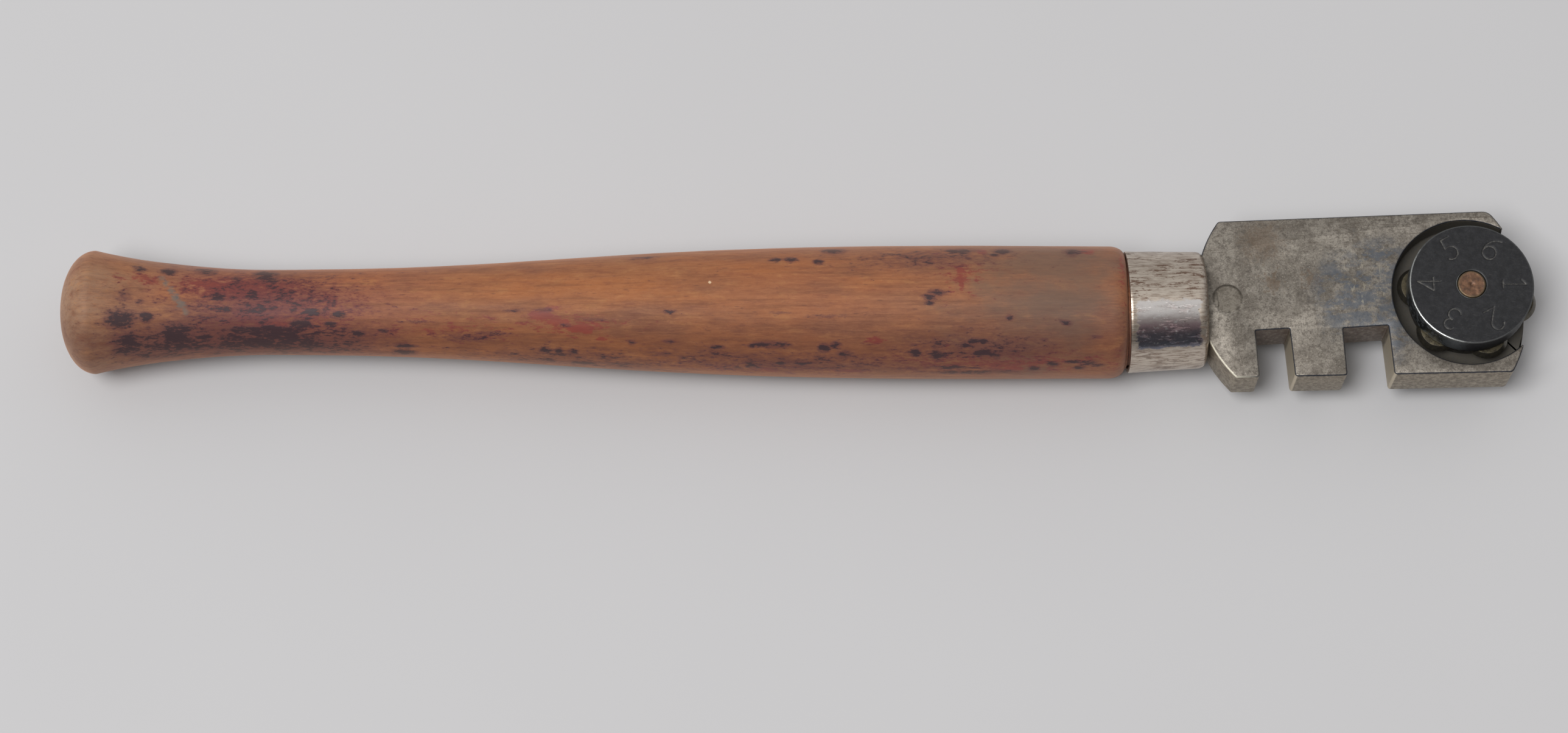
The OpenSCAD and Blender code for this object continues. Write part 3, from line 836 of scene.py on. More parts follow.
# Marks on the wood: distance back from the shoulder, height from the handle's
# middle line as the camera sees it, half length and half width in millimetres, and strength.
STAINS = (
    (88.0, -0.7, 1.1, 0.7, 1.0), (87.4, -2.9, 1.2, 0.95, 1.0), (85.8, -0.5, 0.55, 0.4, 0.75),
    (87.7, 1.3, 0.65, 0.4, 0.5), (86.3, 0.9, 0.32, 0.24, 0.6), (84.1, 3.6, 0.45, 0.25, 1.0),
    (86.6, 3.8, 0.5, 0.24, 0.6), (83.2, -2.2, 1.45, 0.9, 1.0), (84.6, -3.2, 0.95, 0.5, 0.8),
    (80.8, -2.4, 0.95, 0.55, 0.8), (75.7, 3.3, 0.9, 0.4, 1.0), (75.0, 2.8, 0.65, 0.24, 0.9),
    (80.8, 3.6, 0.8, 0.3, 0.8), (79.6, 1.3, 0.65, 0.32, 1.0), (78.8, 0.2, 0.8, 0.35, 0.75),
    (78.1, 2.9, 0.5, 0.3, 0.7), (77.0, -1.6, 1.75, 0.3, 1.0), (74.5, -1.9, 2.5, 0.6, 1.0),
    (72.4, -1.1, 0.95, 0.5, 1.0), (71.2, 0.0, 0.7, 0.3, 1.0), (73.0, 0.0, 0.5, 0.3, 0.7),
    (69.1, -0.3, 0.6, 0.3, 1.0), (69.8, -1.1, 0.5, 0.24, 1.0), (76.0, -2.7, 1.9, 0.5, 1.0),
    (77.6, -2.9, 3.2, 0.55, 0.85), (72.6, -3.0, 2.4, 0.4, 0.85), (82.1, -3.0, 2.4, 0.6, 0.85),
    (75.3, 0.8, 6.5, 2.8, 0.53), (74.5, -2.7, 7.5, 1.3, 0.72), (84.0, -3.2, 4.5, 1.3, 0.6),
    (67.3, -1.9, 0.55, 0.22, 1.0), (65.1, -1.7, 0.35, 0.2, 0.7), (63.3, -3.0, 0.8, 0.16, 1.0),
    (63.3, -3.6, 0.9, 0.2, 1.0), (50.9, -3.4, 0.55, 0.25, 0.8), (49.8, -3.4, 0.3, 0.2, 1.0),
    (48.5, -3.5, 0.32, 0.2, 1.0), (50.8, -4.3, 0.8, 0.2, 0.8), (47.6, -4.5, 1.1, 0.16, 1.0),
    (50.9, 0.2, 0.7, 0.2, 0.6), (49.2, -1.2, 0.5, 0.13, 0.6), (67.6, 1.9, 0.64, 0.13, 0.5),
    (62.5, -0.9, 1.75, 0.13, 0.45), (58.5, -2.2, 2.5, 0.4, 0.4), (55.7, -1.9, 1.75, 0.2, 0.45),
    (53.8, 0.1, 0.95, 0.13, 0.45), (46.6, -0.7, 1.4, 0.13, 0.45), (30.8, 4.6, 0.5, 0.16, 0.8),
    (29.4, 4.6, 0.45, 0.16, 1.0), (27.0, 4.4, 0.4, 0.24, 0.8), (25.7, 5.4, 0.8, 0.2, 1.0),
    (40.1, -2.6, 0.45, 0.13, 0.8), (35.8, -3.1, 0.55, 0.13, 1.0), (32.8, -3.0, 0.25, 0.16, 1.0),
    (31.3, -2.9, 1.4, 0.24, 0.8), (26.5, -3.2, 0.4, 0.32, 1.0), (25.5, -2.9, 0.4, 0.24, 0.9),
    (24.8, -3.7, 0.7, 0.3, 0.7), (30.4, -4.5, 0.35, 0.13, 1.0), (33.0, -4.6, 0.48, 0.4, 0.8),
    (34.0, -4.9, 0.48, 0.13, 0.8), (38.9, -4.0, 0.4, 0.13, 0.8), (40.5, -3.7, 0.64, 0.2, 0.7),
    (43.3, -2.7, 0.3, 0.2, 0.7), (42.4, 4.8, 0.95, 0.13, 0.6), (40.0, 0.0, 0.48, 0.2, 0.45),
    (26.2, -0.4, 1.4, 0.13, 0.5), (30.4, -0.1, 0.95, 0.1, 0.5), (18.5, -3.6, 0.41, 0.32, 1.0),
    (16.7, -3.8, 0.55, 0.35, 1.0), (13.5, -2.6, 0.4, 0.2, 1.0), (12.6, -2.6, 0.4, 0.2, 1.0),
    (14.1, -3.0, 0.29, 0.13, 1.0), (12.8, -3.6, 0.64, 0.32, 1.0), (11.8, -3.8, 0.48, 0.13, 1.0),
    (11.4, -4.0, 0.25, 0.19, 0.8), (10.0, -3.4, 0.56, 0.13, 0.8), (8.1, -5.0, 0.4, 0.16, 1.0),
    (6.5, -4.6, 0.45, 0.16, 1.0), (4.8, -4.4, 0.56, 0.13, 0.9), (4.1, -4.9, 0.4, 0.16, 1.0),
    (3.3, -4.5, 0.56, 0.16, 0.9), (2.5, -4.7, 0.56, 0.1, 0.8), (5.5, -1.0, 0.38, 0.19, 1.0),
    (2.7, -2.2, 0.4, 0.13, 0.8), (17.3, 0.7, 0.24, 0.16, 1.0), (17.4, 1.3, 0.48, 0.24, 1.0),
    (16.7, 1.7, 0.64, 0.22, 0.8), (17.3, 4.3, 0.41, 0.13, 1.0), (11.6, 5.0, 0.35, 0.13, 1.0),
    (14.4, 5.4, 1.1, 0.19, 1.0), (10.9, 5.4, 0.64, 0.22, 1.0), (4.7, 5.3, 0.56, 0.25, 1.0),
    (18.7, -2.9, 0.41, 0.16, 0.6), (10.4, -0.5, 0.25, 0.22, 0.8), (7.3, -2.5, 0.35, 0.16, 0.7),
    (13.5, -5.3, 3.2, 0.16, 0.8), (15.1, -4.9, 2.1, 0.13, 0.8), (13.0, -3.4, 7.0, 1.1, 0.42),
    (30.0, -4.6, 14.0, 0.8, 0.44), (48.0, -4.4, 9.0, 0.7, 0.44), (17.0, 4.8, 6.0, 0.7, 0.44),
)
LACQUER = (
    (79.7, 2.3, 1.9, 0.35, 1.0), (81.3, 2.5, 0.95, 0.3, 0.9), (75.3, 2.2, 1.6, 0.3, 0.9),
    (85.9, 2.9, 2.4, 0.55, 0.55), (73.7, 1.3, 1.3, 0.5, 0.6), (77.5, -0.5, 0.95, 0.3, 0.7),
    (74.5, -1.1, 1.9, 0.5, 0.8), (77.0, 2.0, 6.0, 1.3, 0.78), (74.0, 0.2, 6.5, 2.4, 0.7),
    (51.2, -0.3, 1.1, 0.45, 0.9), (50.4, 0.3, 0.8, 0.26, 0.8), (49.6, -0.9, 1.0, 0.4, 0.9),
    (48.2, -1.5, 1.0, 0.32, 1.0), (47.2, -1.8, 0.7, 0.22, 0.9), (46.0, -2.4, 0.6, 0.16, 0.8),
    (31.3, -5.1, 0.95, 0.24, 0.9), (21.9, -2.5, 0.95, 0.3, 0.7), (24.6, -5.2, 2.4, 0.16, 0.8),
    (14.6, 3.6, 0.4, 0.32, 1.0), (14.6, 2.5, 0.22, 0.95, 0.8), (12.7, 5.3, 0.48, 0.22, 0.9),
    (3.5, 5.4, 0.8, 0.22, 0.8), (15.7, -3.2, 0.32, 0.32, 0.7), (10.0, -5.0, 1.1, 0.19, 0.9),
    (16.7, 5.1, 0.4, 0.13, 0.7), (48.5, -1.2, 5.0, 1.2, 0.5), (12.0, -4.6, 12.0, 1.0, 0.55),
    (32.0, -4.9, 11.0, 0.7, 0.5), (14.5, 3.4, 2.5, 1.8, 0.46), (60.0, -1.5, 8.0, 1.6, 0.4),
    (0.4, 3.6, 0.4, 2.4, 0.5),
)
SCUFFS = (
    (84.6, 3.0, 0.3, 0.22, 0.9), (84.2, 2.5, 0.28, 0.28, 0.9), (83.7, 1.9, 0.3, 0.34, 1.0),
    (83.3, 1.3, 0.36, 0.4, 1.0), (82.8, 0.7, 0.4, 0.4, 1.0), (82.4, 0.0, 0.3, 0.34, 0.9),
)
CHIP = (36.5, 2.6, 0.16, 0.13, 1.0)    # small pale chip in the surface


def handle_profile():
    """The wood's outline from its domed end round to the bottom of the tang's hole."""
    belly = (-BELLY_BACK, BELLY_D / 2)
    rim = (DOME_LEN - HANDLE_LEN, FLARE_D / 2)
    waist = (rim[0] + WAIST_FORWARD, WAIST_D / 2)
    rise = belly[0] - waist[0]
    dome = [
        (rim[0] - DOME_LEN * math.cos(a), rim[1] * math.sin(a) ** 0.9)
        for a in (math.pi / 2 * i / 48 for i in range(49))
    ]
    flare = bezier(rim, (rim[0] + 5, rim[1] - 1.25), (waist[0] - 3, waist[1]), waist, 40)
    swell = bezier(waist, (waist[0] + 0.4 * rise, waist[1]), (belly[0] - 0.55 * rise, belly[1]), belly, 120)
    shoulder_y = BELLY_D / 2 - SHOULDER_DROP - SHOULDER_R
    shoulder = [(SHOULDER_RUN * (x - 1), shoulder_y + SHOULDER_R * y) for x, y in arc((0, 0), 1, 90, -90, 12)]
    outside = even(dome + flare + swell + shoulder, 0.19)
    tenon_r = FERRULE_FRONT_D / 2 - FERRULE_SHEET - FIT_GAP
    bore_r = TANG_D / 2
    inside = [
        (0.0, tenon_r + 0.3), (0.0, tenon_r), (TENON_END - 0.3, tenon_r), (TENON_END, tenon_r - 0.3),
        (TENON_END, bore_r), (-TANG_LEN - 0.5, bore_r), (-TANG_LEN - 1.0, 0.02),
    ]
    return outside[1:], inside


def mark_field(distance, angle, outline, marks):
    """How strongly each point lies in a mark, from 0 to 1."""
    field = np.zeros(len(distance))
    for place, height, half_length, half_width, strength in marks:
        radius = np.interp(-place, outline[:, 0], outline[:, 1])
        share = max(-0.97, min(0.97, height / radius))
        centre = math.asin(share) - CAMERA_TILT
        across = (np.mod(angle - centre + math.pi, TAU) - math.pi) * radius
        width = half_width / max(0.4, math.sqrt(1 - share * share))
        reach = ((distance - place) / half_length) ** 2 + (across / width) ** 2
        field = np.maximum(field, strength * np.exp(-0.55 * reach))
    return field


def marks_below(marks, seed):
    """Marks like these, placed at random, for the side that the handle lies on."""
    draw = random.Random(seed)
    return [
        (place + draw.uniform(-6, 6), draw.uniform(-5, 5), length * draw.uniform(0.7, 1.4),
         width * draw.uniform(0.8, 1.3), strength * draw.uniform(0.6, 1.0))
        for place, _, length, width, strength in marks[::2]
    ]


def make_handle():
    outside, inside = handle_profile()
    around = 256
    rings = lathe_rings(np.vstack([outside, inside]), around, "X")
    leaning = rings[len(outside):]
    lean = np.array(Matrix.Rotation(HEAD_LEAN, 3, "Z"))
    rings[len(outside):] = leaning @ lean.T
    mesh = mesh_from_rings("wooden_handle", rings, False)
    piece = make_object("wooden_handle", mesh, HANDLE_FRAME)
    points = points_of(piece)
    shown = np.zeros(len(points), bool)
    shown[: len(outside) * around] = True
    distance = -points[:, 0]
    angle = np.arctan2(points[:, 1], points[:, 2])
    radius = np.maximum(np.hypot(points[:, 1], points[:, 2]), 0.05)

    def both_sides(marks, seed):
        above = mark_field(distance, angle, outside, marks)
        return np.maximum(above, mark_field(distance, angle + math.pi, outside, marks_below(marks, seed)))

    stain = both_sides(STAINS, 5)
    lacquer = both_sides(LACQUER, 6)
    scuff = mark_field(distance, angle, outside, SCUFFS)
    chip = mark_field(distance, angle, outside, [CHIP])
    # Grey soil on top near the shoulder, and a brown darkening on the notches' side, most at the waist:
    # painted shade on the lower side as the camera sees it, with some grime.
    cast = np.exp(-((distance - 7) / 8.5) ** 2) * (0.5 + 0.5 * np.cos(angle - 0.2))
    grime_and_shade = 0.7 * np.clip(np.cos(angle + math.radians(50)), 0, 1) ** 5
    grime_and_shade += 0.4 * np.exp(-((distance - 78) / 8) ** 2) * np.clip(-np.sin(angle), 0, 1)
    # Bare wood is worn a little lower than what stains and lacquer still cover.
    low_noise = noise_at(points, (0.09, 0.5, 0.5), 2, 3.0)
    fine_noise = noise_at(points, (0.35, 1.6, 1.6), 2, 9.0)
    sink = 0.035 * (0.5 + 0.5 * np.clip(low_noise, -1, 1)) + 0.008 * (1 - fine_noise)
    sink += 0.02 * (1 - np.clip(stain * 1.3 + lacquer, 0, 1)) + 0.05 * chip
    outward = points * np.array([0, 1, 1]) / radius[:, None]
    moved = points - outward * (sink * shown * np.clip(radius, 0, 1))[:, None]
    move_points(piece, moved)
    fields = {"stain": stain, "lacquer": lacquer, "scuff": scuff, "cast": cast, "grime_and_shade": grime_and_shade, "chip": chip}
    for name, values in fields.items():
        add_values(piece, name, values)
    fix_normals(piece.data)
    shade(piece, 50)
    finish_piece(piece, "frame", ["handle"], WOOD)


make_handle()

# ---- ferrule ----


def make_ferrule():
    back_r = FERRULE_BACK_D / 2
    front_r = FERRULE_FRONT_D / 2
    mouth_r = TANG_D / 2 + 2 * FIT_GAP
    inner_r = LIP_R - FERRULE_SHEET
    outline = [
        (JOINT_GAP, back_r - FERRULE_SHEET, 0.1), (JOINT_GAP, back_r, 0.14),
        (JOINT_GAP + 0.7, back_r - 0.03, 0.5),
        (FRONT_X, front_r, LIP_R), (FRONT_X, mouth_r, 0.12), (FRONT_X - FERRULE_SHEET, mouth_r, 0.12),
        (FRONT_X - FERRULE_SHEET, front_r - FERRULE_SHEET, inner_r),
    ]
    line = rounded(outline, 8)
    line.append(line[0])
    profile = even(line, 0.12)[:-1]
    piece = turned("ferrule_sleeve", profile, HEAD_FRAME, 224, "X")
    points = points_of(piece)
    radius = np.hypot(points[:, 1], points[:, 2])
    waves = noise_at(points, (0.25, 0.45, 0.45), 2, 5.0)
    sink = 0.03 * (0.5 + 0.5 * np.clip(waves, -1, 1))
    skin = np.clip((points[:, 0] - JOINT_GAP) / 0.5, 0, 1) * np.clip((FRONT_X - points[:, 0]) / 0.5, 0, 1)
    points[:, 1:] *= (1 - sink * skin / radius)[:, None]
    move_points(piece, points)
    shade(piece, 40)
    finish_piece(piece, "frame", ["ferrule"], NICKEL)


make_ferrule()

# ---- head plate ----

HALF_SLOPE = PLATE_GROWTH / 2 / (TIP_X - ROOT_X)
HALF_AT_AXIS = PLATE_H / 2 - HALF_SLOPE * ROOT_X
ROOT_CENTRE = (FRONT_X - ROOT_BACK + ROOT_R, PLATE_SHIFT + ROOT_RISE)
TIP_CENTRE = (TIP_X - TIP_R + TIP_AHEAD, PLATE_SHIFT - TIP_DROP)


def edge_y(x, side):
    """Height of the plate's upper (side 1) or lower (side -1) edge."""
    return PLATE_SHIFT + side * (HALF_AT_AXIS + HALF_SLOPE * x)


def edge_meets(centre, radius, side, end):
    """Angle in degrees at which an end arc meets an edge of the plate."""
    slope = side * HALF_SLOPE
    k = 1 + slope * slope
    rise = edge_y(0, side) - centre[1]
    h = slope * rise - centre[0]
    x = (-h + end * math.sqrt(h * h - k * (centre[0] ** 2 + rise ** 2 - radius ** 2))) / k
    return math.degrees(math.atan2(edge_y(x, side) - centre[1], x - centre[0]))


def notch_corners(x, width):
    """Corners of one notch, from its left mouth corner to its right one."""
    top_y = PLATE_SHIFT - PLATE_H / 2 + NOTCH_DEPTH
    corners = []
    for side, order in ((-1, (1, 0)), (1, (0, 1))):
        for deep in order:
            depth = NOTCH_DEPTH * deep
            local = Vector((side * (width / 2 + depth * math.tan(NOTCH_DRAFT)), -depth))
            local.rotate(Matrix.Rotation(NOTCH_LEAN, 2))
            corner_x = x + local.x
            corner_y = edge_y(corner_x, -1) if deep else top_y + local.y
            corners.append((corner_x, corner_y, 0.3 if deep else 0.14))
    return corners


def plate_outline():
    """Outline of the head plate, anticlockwise from the foot of its root arc."""
    low_root = edge_meets(ROOT_CENTRE, ROOT_R, -1, -1) % 360
    high_root = edge_meets(ROOT_CENTRE, ROOT_R, 1, -1) % 360
    low_tip = edge_meets(TIP_CENTRE, TIP_R, -1, 1)
    high_tip = edge_meets(TIP_CENTRE, TIP_R, 1, 1)
    root = arc(ROOT_CENTRE, ROOT_R, high_root, low_root - high_root, 40)
    tip = arc(TIP_CENTRE, TIP_R, low_tip, high_tip - low_tip, 40)
    corners = [(root[-1][0], root[-1][1], 0.25)]
    for x, width in NOTCHES:
        corners += notch_corners(x, width)
    corners.append((tip[0][0], tip[0][1], 0.5))
    corners += [(x, y, 0) for x, y in tip[2:-3]]
    corners.append((tip[-1][0], tip[-1][1], 1.3))
    corners.append((root[0][0], root[0][1], 0.4))
    corners += [(x, y, 0) for x, y in root[2:-1]]
    return rounded(corners)


def horn_tips():
    """Where the turret's recess runs out through the plate's tip."""
    apart = math.dist(TIP_CENTRE, TURRET_AT)
    along = (apart ** 2 + RECESS_R ** 2 - TIP_R ** 2) / (2 * apart)
    across = math.sqrt(RECESS_R ** 2 - along ** 2)
    out = (Vector(TURRET_AT) - Vector(TIP_CENTRE)) / -apart
    side = Vector((-out.y, out.x))
    middle = Vector(TURRET_AT) + out * along
    return [tuple(middle + side * across), tuple(middle - side * across)]


def tang_profile():
    pitch = TANG_LEN * 0.7 / BARBS
    crest = TANG_D / 2 - FIT_GAP
    valley = TANG_D / 2 - 0.35
    corners = [(-TANG_LEN, 0.02, 0), (-TANG_LEN, valley, 0.2)]
    for i in range(BARBS):
        start = -TANG_LEN + i * pitch
        if i:
            corners.append((start, valley, 0.1))
        corners.append((start + 0.85 * pitch, crest, 0.1))
    shank_x = -TANG_LEN + BARBS * pitch
    corners += [(shank_x, valley, 0.1), (shank_x + 1, crest, 0.2)]
    corners += [(ROOT_X + 1, crest, 0), (ROOT_X + 1, 0.02, 0)]
    return rounded(corners, 3)


def make_head_plate():
    piece = prism("head_casting", plate_outline(), -FACE_Z, FACE_Z, HEAD_FRAME)
    combine(piece, cylinder(RECESS_R, BASE_Z, FACE_Z + 1, HEAD_FRAME, 192, TURRET_AT), "DIFFERENCE")
    hole = cylinder(SCREW_D / 2 + SCREW_PLAY, -FACE_Z - 1, FACE_Z, HEAD_FRAME, 64, TURRET_AT)
    combine(piece, hole, "DIFFERENCE")
    for horn in horn_tips():
        combine(piece, cylinder(HORN_CUT_R, BASE_Z, FACE_Z + 1, HEAD_FRAME, 32, horn), "DIFFERENCE")
    round_edges(piece, EDGE_ROUND)
    mark = cylinder(MARK_R, FACE_Z - MARK_DEPTH, FACE_Z + 1, HEAD_FRAME, 96, (MARK_X, PLATE_SHIFT))
    combine(piece, mark, "DIFFERENCE")
    tang = turned("tang", tang_profile(), HEAD_FRAME, 96, "X", loop=False)
    combine(piece, tang, "UNION")
    shade(piece, 40)
    finish_piece(piece, "frame", ["head_plate"], CASTING)


make_head_plate()

# ---- turret cap ----


def digit_strokes(number):
    """Strokes of a digit 2 tall, standing on the X axis."""
    return {
        1: [[(0, 0), (0, 2), (-0.4, 1.6)], [(-0.35, 0), (0.35, 0)]],
        2: [arc((0, 1.45), 0.55, 160, -190, 14) + [(-0.55, 0), (0.55, 0)]],
        3: [arc((0, 1.5), 0.48, 150, -240, 14), arc((0, 0.52), 0.54, 90, -240, 14)],
        4: [[(0.25, 0), (0.25, 2), (-0.6, 0.6), (0.6, 0.6)]],
        5: [[(0.55, 2), (-0.2, 2), (-0.3, 1.12)] + arc((0, 0.6), 0.6, 120, -260, 16)],
        6: [arc((0, 0.6), 0.6, 0, 360, 20), arc((0.6, 0.8), 1.2, 180, -85, 10)],
    }[number]


def stroke_distance(points, strokes):
    """Distance from each point to the nearest stroke."""
    nearest = np.full(len(points), 9.0)
    for stroke in strokes:
        for a, b in zip(stroke, stroke[1:]):
            a = np.array(a, float)
            span = np.array(b, float) - a
            share = np.clip((points - a) @ span / max(span @ span, 1e-9), 0, 1)
            nearest = np.minimum(nearest, np.linalg.norm(points - a - share[:, None] * span, axis=1))
    return nearest


def digit_grooves(points):
    """Depth share of the engraved digits at each point of the cap's face."""
    depth = np.zeros(len(points))
    for number in range(1, WHEELS + 1):
        turn = DIGIT_TURN - (number - 1) * WHEEL_STEP
        out = np.array([math.cos(turn), math.sin(turn)])
        side = np.array([out[1], -out[0]])
        local = np.column_stack([points @ side, points @ out - DIGIT_FOOT_R])
        groove = stroke_distance(local, digit_strokes(number))
        depth = np.maximum(depth, np.clip(1 - groove / DIGIT_STROKE, 0, 1))
    return depth


def drill_for_axles(piece, z0, z1):
    """Cuts one hole for each axle, from z0 up to z1."""
    for number in range(WHEELS):
        turn = -number * WHEEL_STEP
        at = (PITCH_R * math.cos(turn), PITCH_R * math.sin(turn))
        combine(piece, cylinder(AXLE_D / 2, z0, z1, TURRET_FRAME, 32, at), "DIFFERENCE")


def make_turret_cap():
    bore_r = SCREW_D / 2 + SCREW_PLAY
    rim_r = CAP_D / 2
    face = [(TOP_Z, r) for r in np.linspace(bore_r + 0.12, rim_r - 0.2, 68)]
    edge = rounded(
        [(TOP_Z, rim_r - 0.2, 0), (TOP_Z, rim_r, 0.16), (TOP_Z - 0.4, rim_r, 0), (TOP_Z - 0.4, 3, 0)]
    )[1:-2]
    wall = [(z, rim_r) for z in np.linspace(TOP_Z - 0.4, CAP_Z + 0.2, 8)]
    under = [(CAP_Z + 0.06, rim_r - 0.05), (CAP_Z, rim_r - 0.15), (CAP_Z, bore_r)]
    bore = [(TOP_Z - 0.14, bore_r), (TOP_Z - 0.05, bore_r + 0.03)]
    profile = face + edge + wall + under + bore
    piece = turned("numbered_cap", profile, TURRET_FRAME, 560)
    drill_for_axles(piece, CAP_Z - 1, CAP_Z + AXLE_IN_CAP)
    points = points_of(piece)
    radius = np.hypot(points[:, 0], points[:, 1])
    on_face = (points[:, 2] > TOP_Z - 0.02) & (radius > bore_r + 0.1)
    depth = np.zeros(len(points))
    depth[on_face] = digit_grooves(points[on_face][:, :2])
    waves = noise_at(points, (1.2, 1.2, 1.2), 2, 2.0)
    points[:, 2] -= DIGIT_DEPTH * depth + 0.012 * (1 + waves) * on_face
    move_points(piece, points)
    rim = np.exp(-(((radius - rim_r + 0.02) / 0.12) ** 2)) * (points[:, 2] > TOP_Z - 0.18)
    rim = np.maximum(rim, np.exp(-(((radius - bore_r - 0.05) / 0.06) ** 2)) * (points[:, 2] > TOP_Z - 0.15))
    add_values(piece, "engraved", depth)
    add_values(piece, "rim", rim)
    shade(piece, 40)
    finish_piece(piece, "turret", ["turret_cap"], BLACK)


make_turret_cap()

# ---- base, axles and wheels ----


def make_turret_base():
    hub_r = PITCH_R - WHEEL_D / 2 - 0.2
    bore_r = SCREW_D / 2 + SCREW_PLAY
    profile = rounded([
        (BASE_Z, bore_r, 0.08), (BASE_Z, BASE_D / 2, 0.12), (BASE_Z + BASE_T, BASE_D / 2, 0.12),
        (BASE_Z + BASE_T, hub_r, 0.1), (CAP_Z, hub_r, 0.06), (CAP_Z, bore_r, 0.06),
    ], 4)
    piece = turned("base_disc", profile, TURRET_FRAME, 160)
    drill_for_axles(piece, BASE_Z - 1, BASE_Z + BASE_T + 0.5)
    shade(piece, 40)
    finish_piece(piece, "turret", ["turret_base"], BASE_STEEL)


def make_wheel(number):
    bore_r = AXLE_D / 2 + AXLE_PLAY
    edge_r = WHEEL_D / 2
    half_t = WHEEL_T / 2
    profile = rounded([
        (-half_t, bore_r, 0.06), (-half_t, edge_r - BEVEL_W, 0.04), (0, edge_r, 0.02),
        (half_t, edge_r - BEVEL_W, 0.04), (half_t, bore_r, 0.06),
    ], 3)
    piece = turned(f"cutting_wheel_{number}", profile, wheel_frame(number), 128)
    shade(piece, 25)
    finish_piece(piece, f"wheel_{number}", [f"wheel_{number}"], WHEEL_STEEL)


def make_axle(number):
    radius = AXLE_D / 2
    foot_z = BASE_Z - (CAP_Z - WHEEL_PLAY - WHEEL_T / 2)
    top_z = foot_z + CAP_Z + AXLE_IN_CAP - BASE_Z
    profile = rounded([(foot_z, 0.01, 0), (foot_z, radius, 0.08), (top_z, radius, 0.1), (top_z, 0.01, 0)], 3)
    piece = turned(f"axle_pin_{number}", profile, wheel_frame(number), 48, loop=False)
    shade(piece, 40)
    finish_piece(piece, "turret", [f"axle_{number}"], PIN_STEEL)


make_turret_base()
for wheel_number in range(1, WHEELS + 1):
    make_wheel(wheel_number)
    make_axle(wheel_number)

# ---- clamp screw and washers ----


def make_clamp_screw():
    """Slotted screw with a real thread. Its punched end shows flush in the cap."""
    head_r = SCREW_HEAD_D / 2
    shank_r = SCREW_D / 2
    under_z = SCREW_HEAD_Z + SCREW_HEAD_H
    end_z = TOP_Z - 0.02
    head = rounded([
        (SCREW_HEAD_Z, 0.02, 0), (SCREW_HEAD_Z, head_r, 0.35),
        (under_z, head_r, 0.1), (under_z, shank_r, 0.1),
    ], 4)[:-1]
    thread = [(z, shank_r) for z in np.arange(under_z + 0.15, end_z - 0.25, 0.06)]
    end = [(end_z - 0.1, shank_r - 0.02), (end_z - 0.03, shank_r - 0.06), (end_z, shank_r - 0.14)]
    flat = [(end_z - 0.01, r) for r in np.linspace(shank_r - 0.2, 0.05, 16)]
    profile = np.array(head + thread + end + flat)
    around = 96
    rings = lathe_rings(profile, around, "Z")
    threaded = slice(len(head), len(head) + len(thread))
    heights = profile[threaded, :1]
    turns = np.arange(around) / around
    phase = (heights / SCREW_PITCH - turns[None, :]) % 1
    fade = np.clip((heights - under_z - 0.15) / 0.5, 0, 1) * np.clip((end_z - 0.4 - heights) / 0.5, 0, 1)
    cut = 0.2 * np.abs(2 * phase - 1) * fade
    rings[threaded, :, :2] *= (1 - cut / shank_r)[:, :, None]
    piece = make_object("slotted_screw", mesh_from_rings("slotted_screw", rings, False), TURRET_FRAME)
    end_x = head_r + 1
    side = SLOT_W / 2
    slot_outline = [(-end_x, -side), (end_x, -side), (end_x, side), (-end_x, side)]
    slot = prism("tool", slot_outline, SCREW_HEAD_Z - 1, SCREW_HEAD_Z + SLOT_DEPTH, TURRET_FRAME)
    fix_normals(piece.data)
    combine(piece, slot, "DIFFERENCE")
    points = points_of(piece)
    radius = np.hypot(points[:, 0], points[:, 1])
    on_end = points[:, 2] > end_z - 0.05
    dimple = 0.12 * np.exp(-((radius / 0.16) ** 2)) + 0.02 * (1 + noise_at(points, (2, 2, 2), 2, 4.0))
    points[:, 2] -= dimple * on_end
    move_points(piece, points)
    shade(piece, 35)
    finish_piece(piece, "screw", ["clamp_screw"], COPPER)


def make_washers():
    low_z = SCREW_HEAD_Z + SCREW_HEAD_H
    in_r = SCREW_D / 2 + 0.15
    out_r = SCREW_HEAD_D / 2 - 0.1
    dished = rounded([
        (low_z, in_r, 0.08), (low_z + SPRING_DISH, out_r, 0.12),
        (low_z + SPRING_DISH + SPRING_T, out_r, 0.12), (low_z + SPRING_T, in_r, 0.08),
    ], 3)
    spring = turned("spring_washer_disc", dished, TURRET_FRAME, 128)
    shade(spring, 40)
    finish_piece(spring, "spring_washer", ["spring_washer"], WASHER_STEEL)
    flat_z = -FACE_Z - WASHER_T
    hole_r = SCREW_D / 2 + 0.1
    plain = rounded([
        (flat_z, hole_r, 0.06), (flat_z, WASHER_D / 2, 0.14),
        (-FACE_Z, WASHER_D / 2, 0.08), (-FACE_Z, hole_r, 0.06),
    ], 3)
    flat = turned("flat_washer_disc", plain, TURRET_FRAME, 128)
    shade(flat, 40)
    finish_piece(flat, "frame", ["flat_washer"], WASHER_STEEL)


make_clamp_screw()
make_washers()

# ---- stage ----


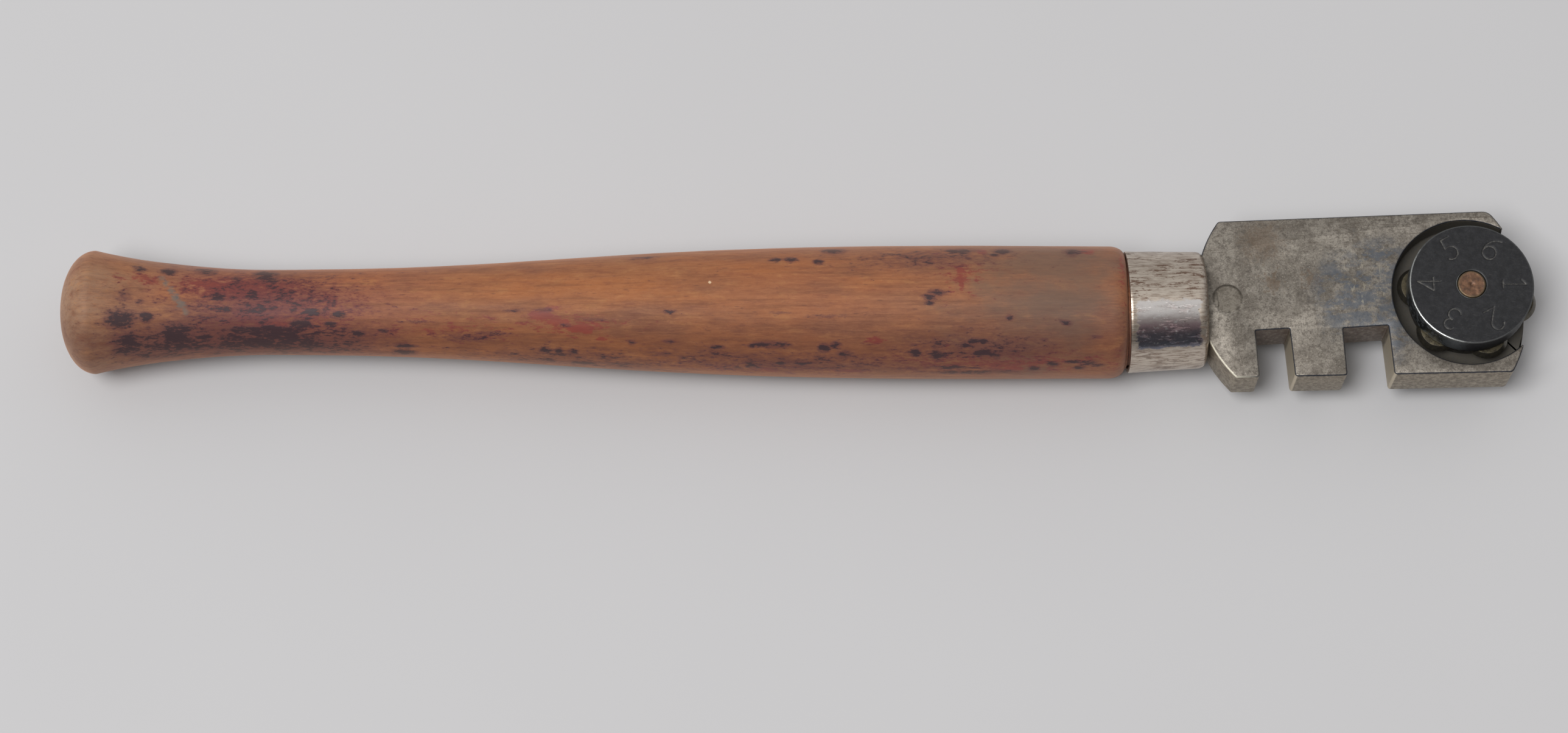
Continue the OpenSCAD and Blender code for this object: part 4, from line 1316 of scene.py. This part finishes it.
def make_floor():
    half = 2500
    mesh = bpy.data.meshes.new("floor")
    corners = [(-half, -half), (half, -half), (half, half), (-half, half)]
    mesh.from_pydata([(x * MM, y * MM, 0) for x, y in corners], [], [[0, 1, 2, 3]])
    s = Surface("pale_floor")
    grain = s.noise(0.02, detail=2)
    colour = s.mix(grain, tone(197, 196, 197), tone(201, 200, 201))
    mesh.materials.append(s.finish(Base_Color=colour, Roughness=0.9, Specular_IOR_Level=0.2))
    make_object("floor", mesh, Matrix())


def make_world():
    """Soft room light: bright overhead, dark low down on the side where the viewer stands."""
    world = bpy.data.worlds.new("soft_room")
    bpy.context.scene.world = world
    world.use_nodes = True
    tree = world.node_tree
    tree.nodes.clear()
    output = tree.nodes.new("ShaderNodeOutputWorld")
    background = tree.nodes.new("ShaderNodeBackground")
    coordinates = tree.nodes.new("ShaderNodeTexCoord")
    dot = tree.nodes.new("ShaderNodeVectorMath")
    dot.operation = "DOT_PRODUCT"
    dot.inputs[1].default_value = Vector((-0.15, 0.6, 0.8)).normalized()
    spread = tree.nodes.new("ShaderNodeMapRange")
    spread.interpolation_type = "SMOOTHSTEP"
    limits = (("From Min", -0.15), ("From Max", 0.9), ("To Min", 0.09), ("To Max", 0.66))
    for key, number in limits:
        spread.inputs[key].default_value = number
    tree.links.new(coordinates.outputs["Generated"], dot.inputs[0])
    tree.links.new(dot.outputs["Value"], spread.inputs["Value"])
    tree.links.new(spread.outputs[0], background.inputs["Strength"])
    tree.links.new(background.outputs[0], output.inputs["Surface"])


def make_light(name, place, size, power):
    """A square area light that faces the middle of the tool. The place is in metres."""
    data = bpy.data.lights.new(name, "AREA")
    data.shape = "SQUARE"
    data.size = size
    data.energy = power
    light = bpy.data.objects.new(name, data)
    bpy.context.scene.collection.objects.link(light)
    light.location = place
    light.rotation_euler = (LOOK_AT - Vector(place)).to_track_quat("-Z", "Y").to_euler()


make_floor()
make_world()
make_light("left_window", (-0.28, -0.22, 0.93), 0.4, 7.2)
bpy.context.scene.view_settings.view_transform = "Standard"
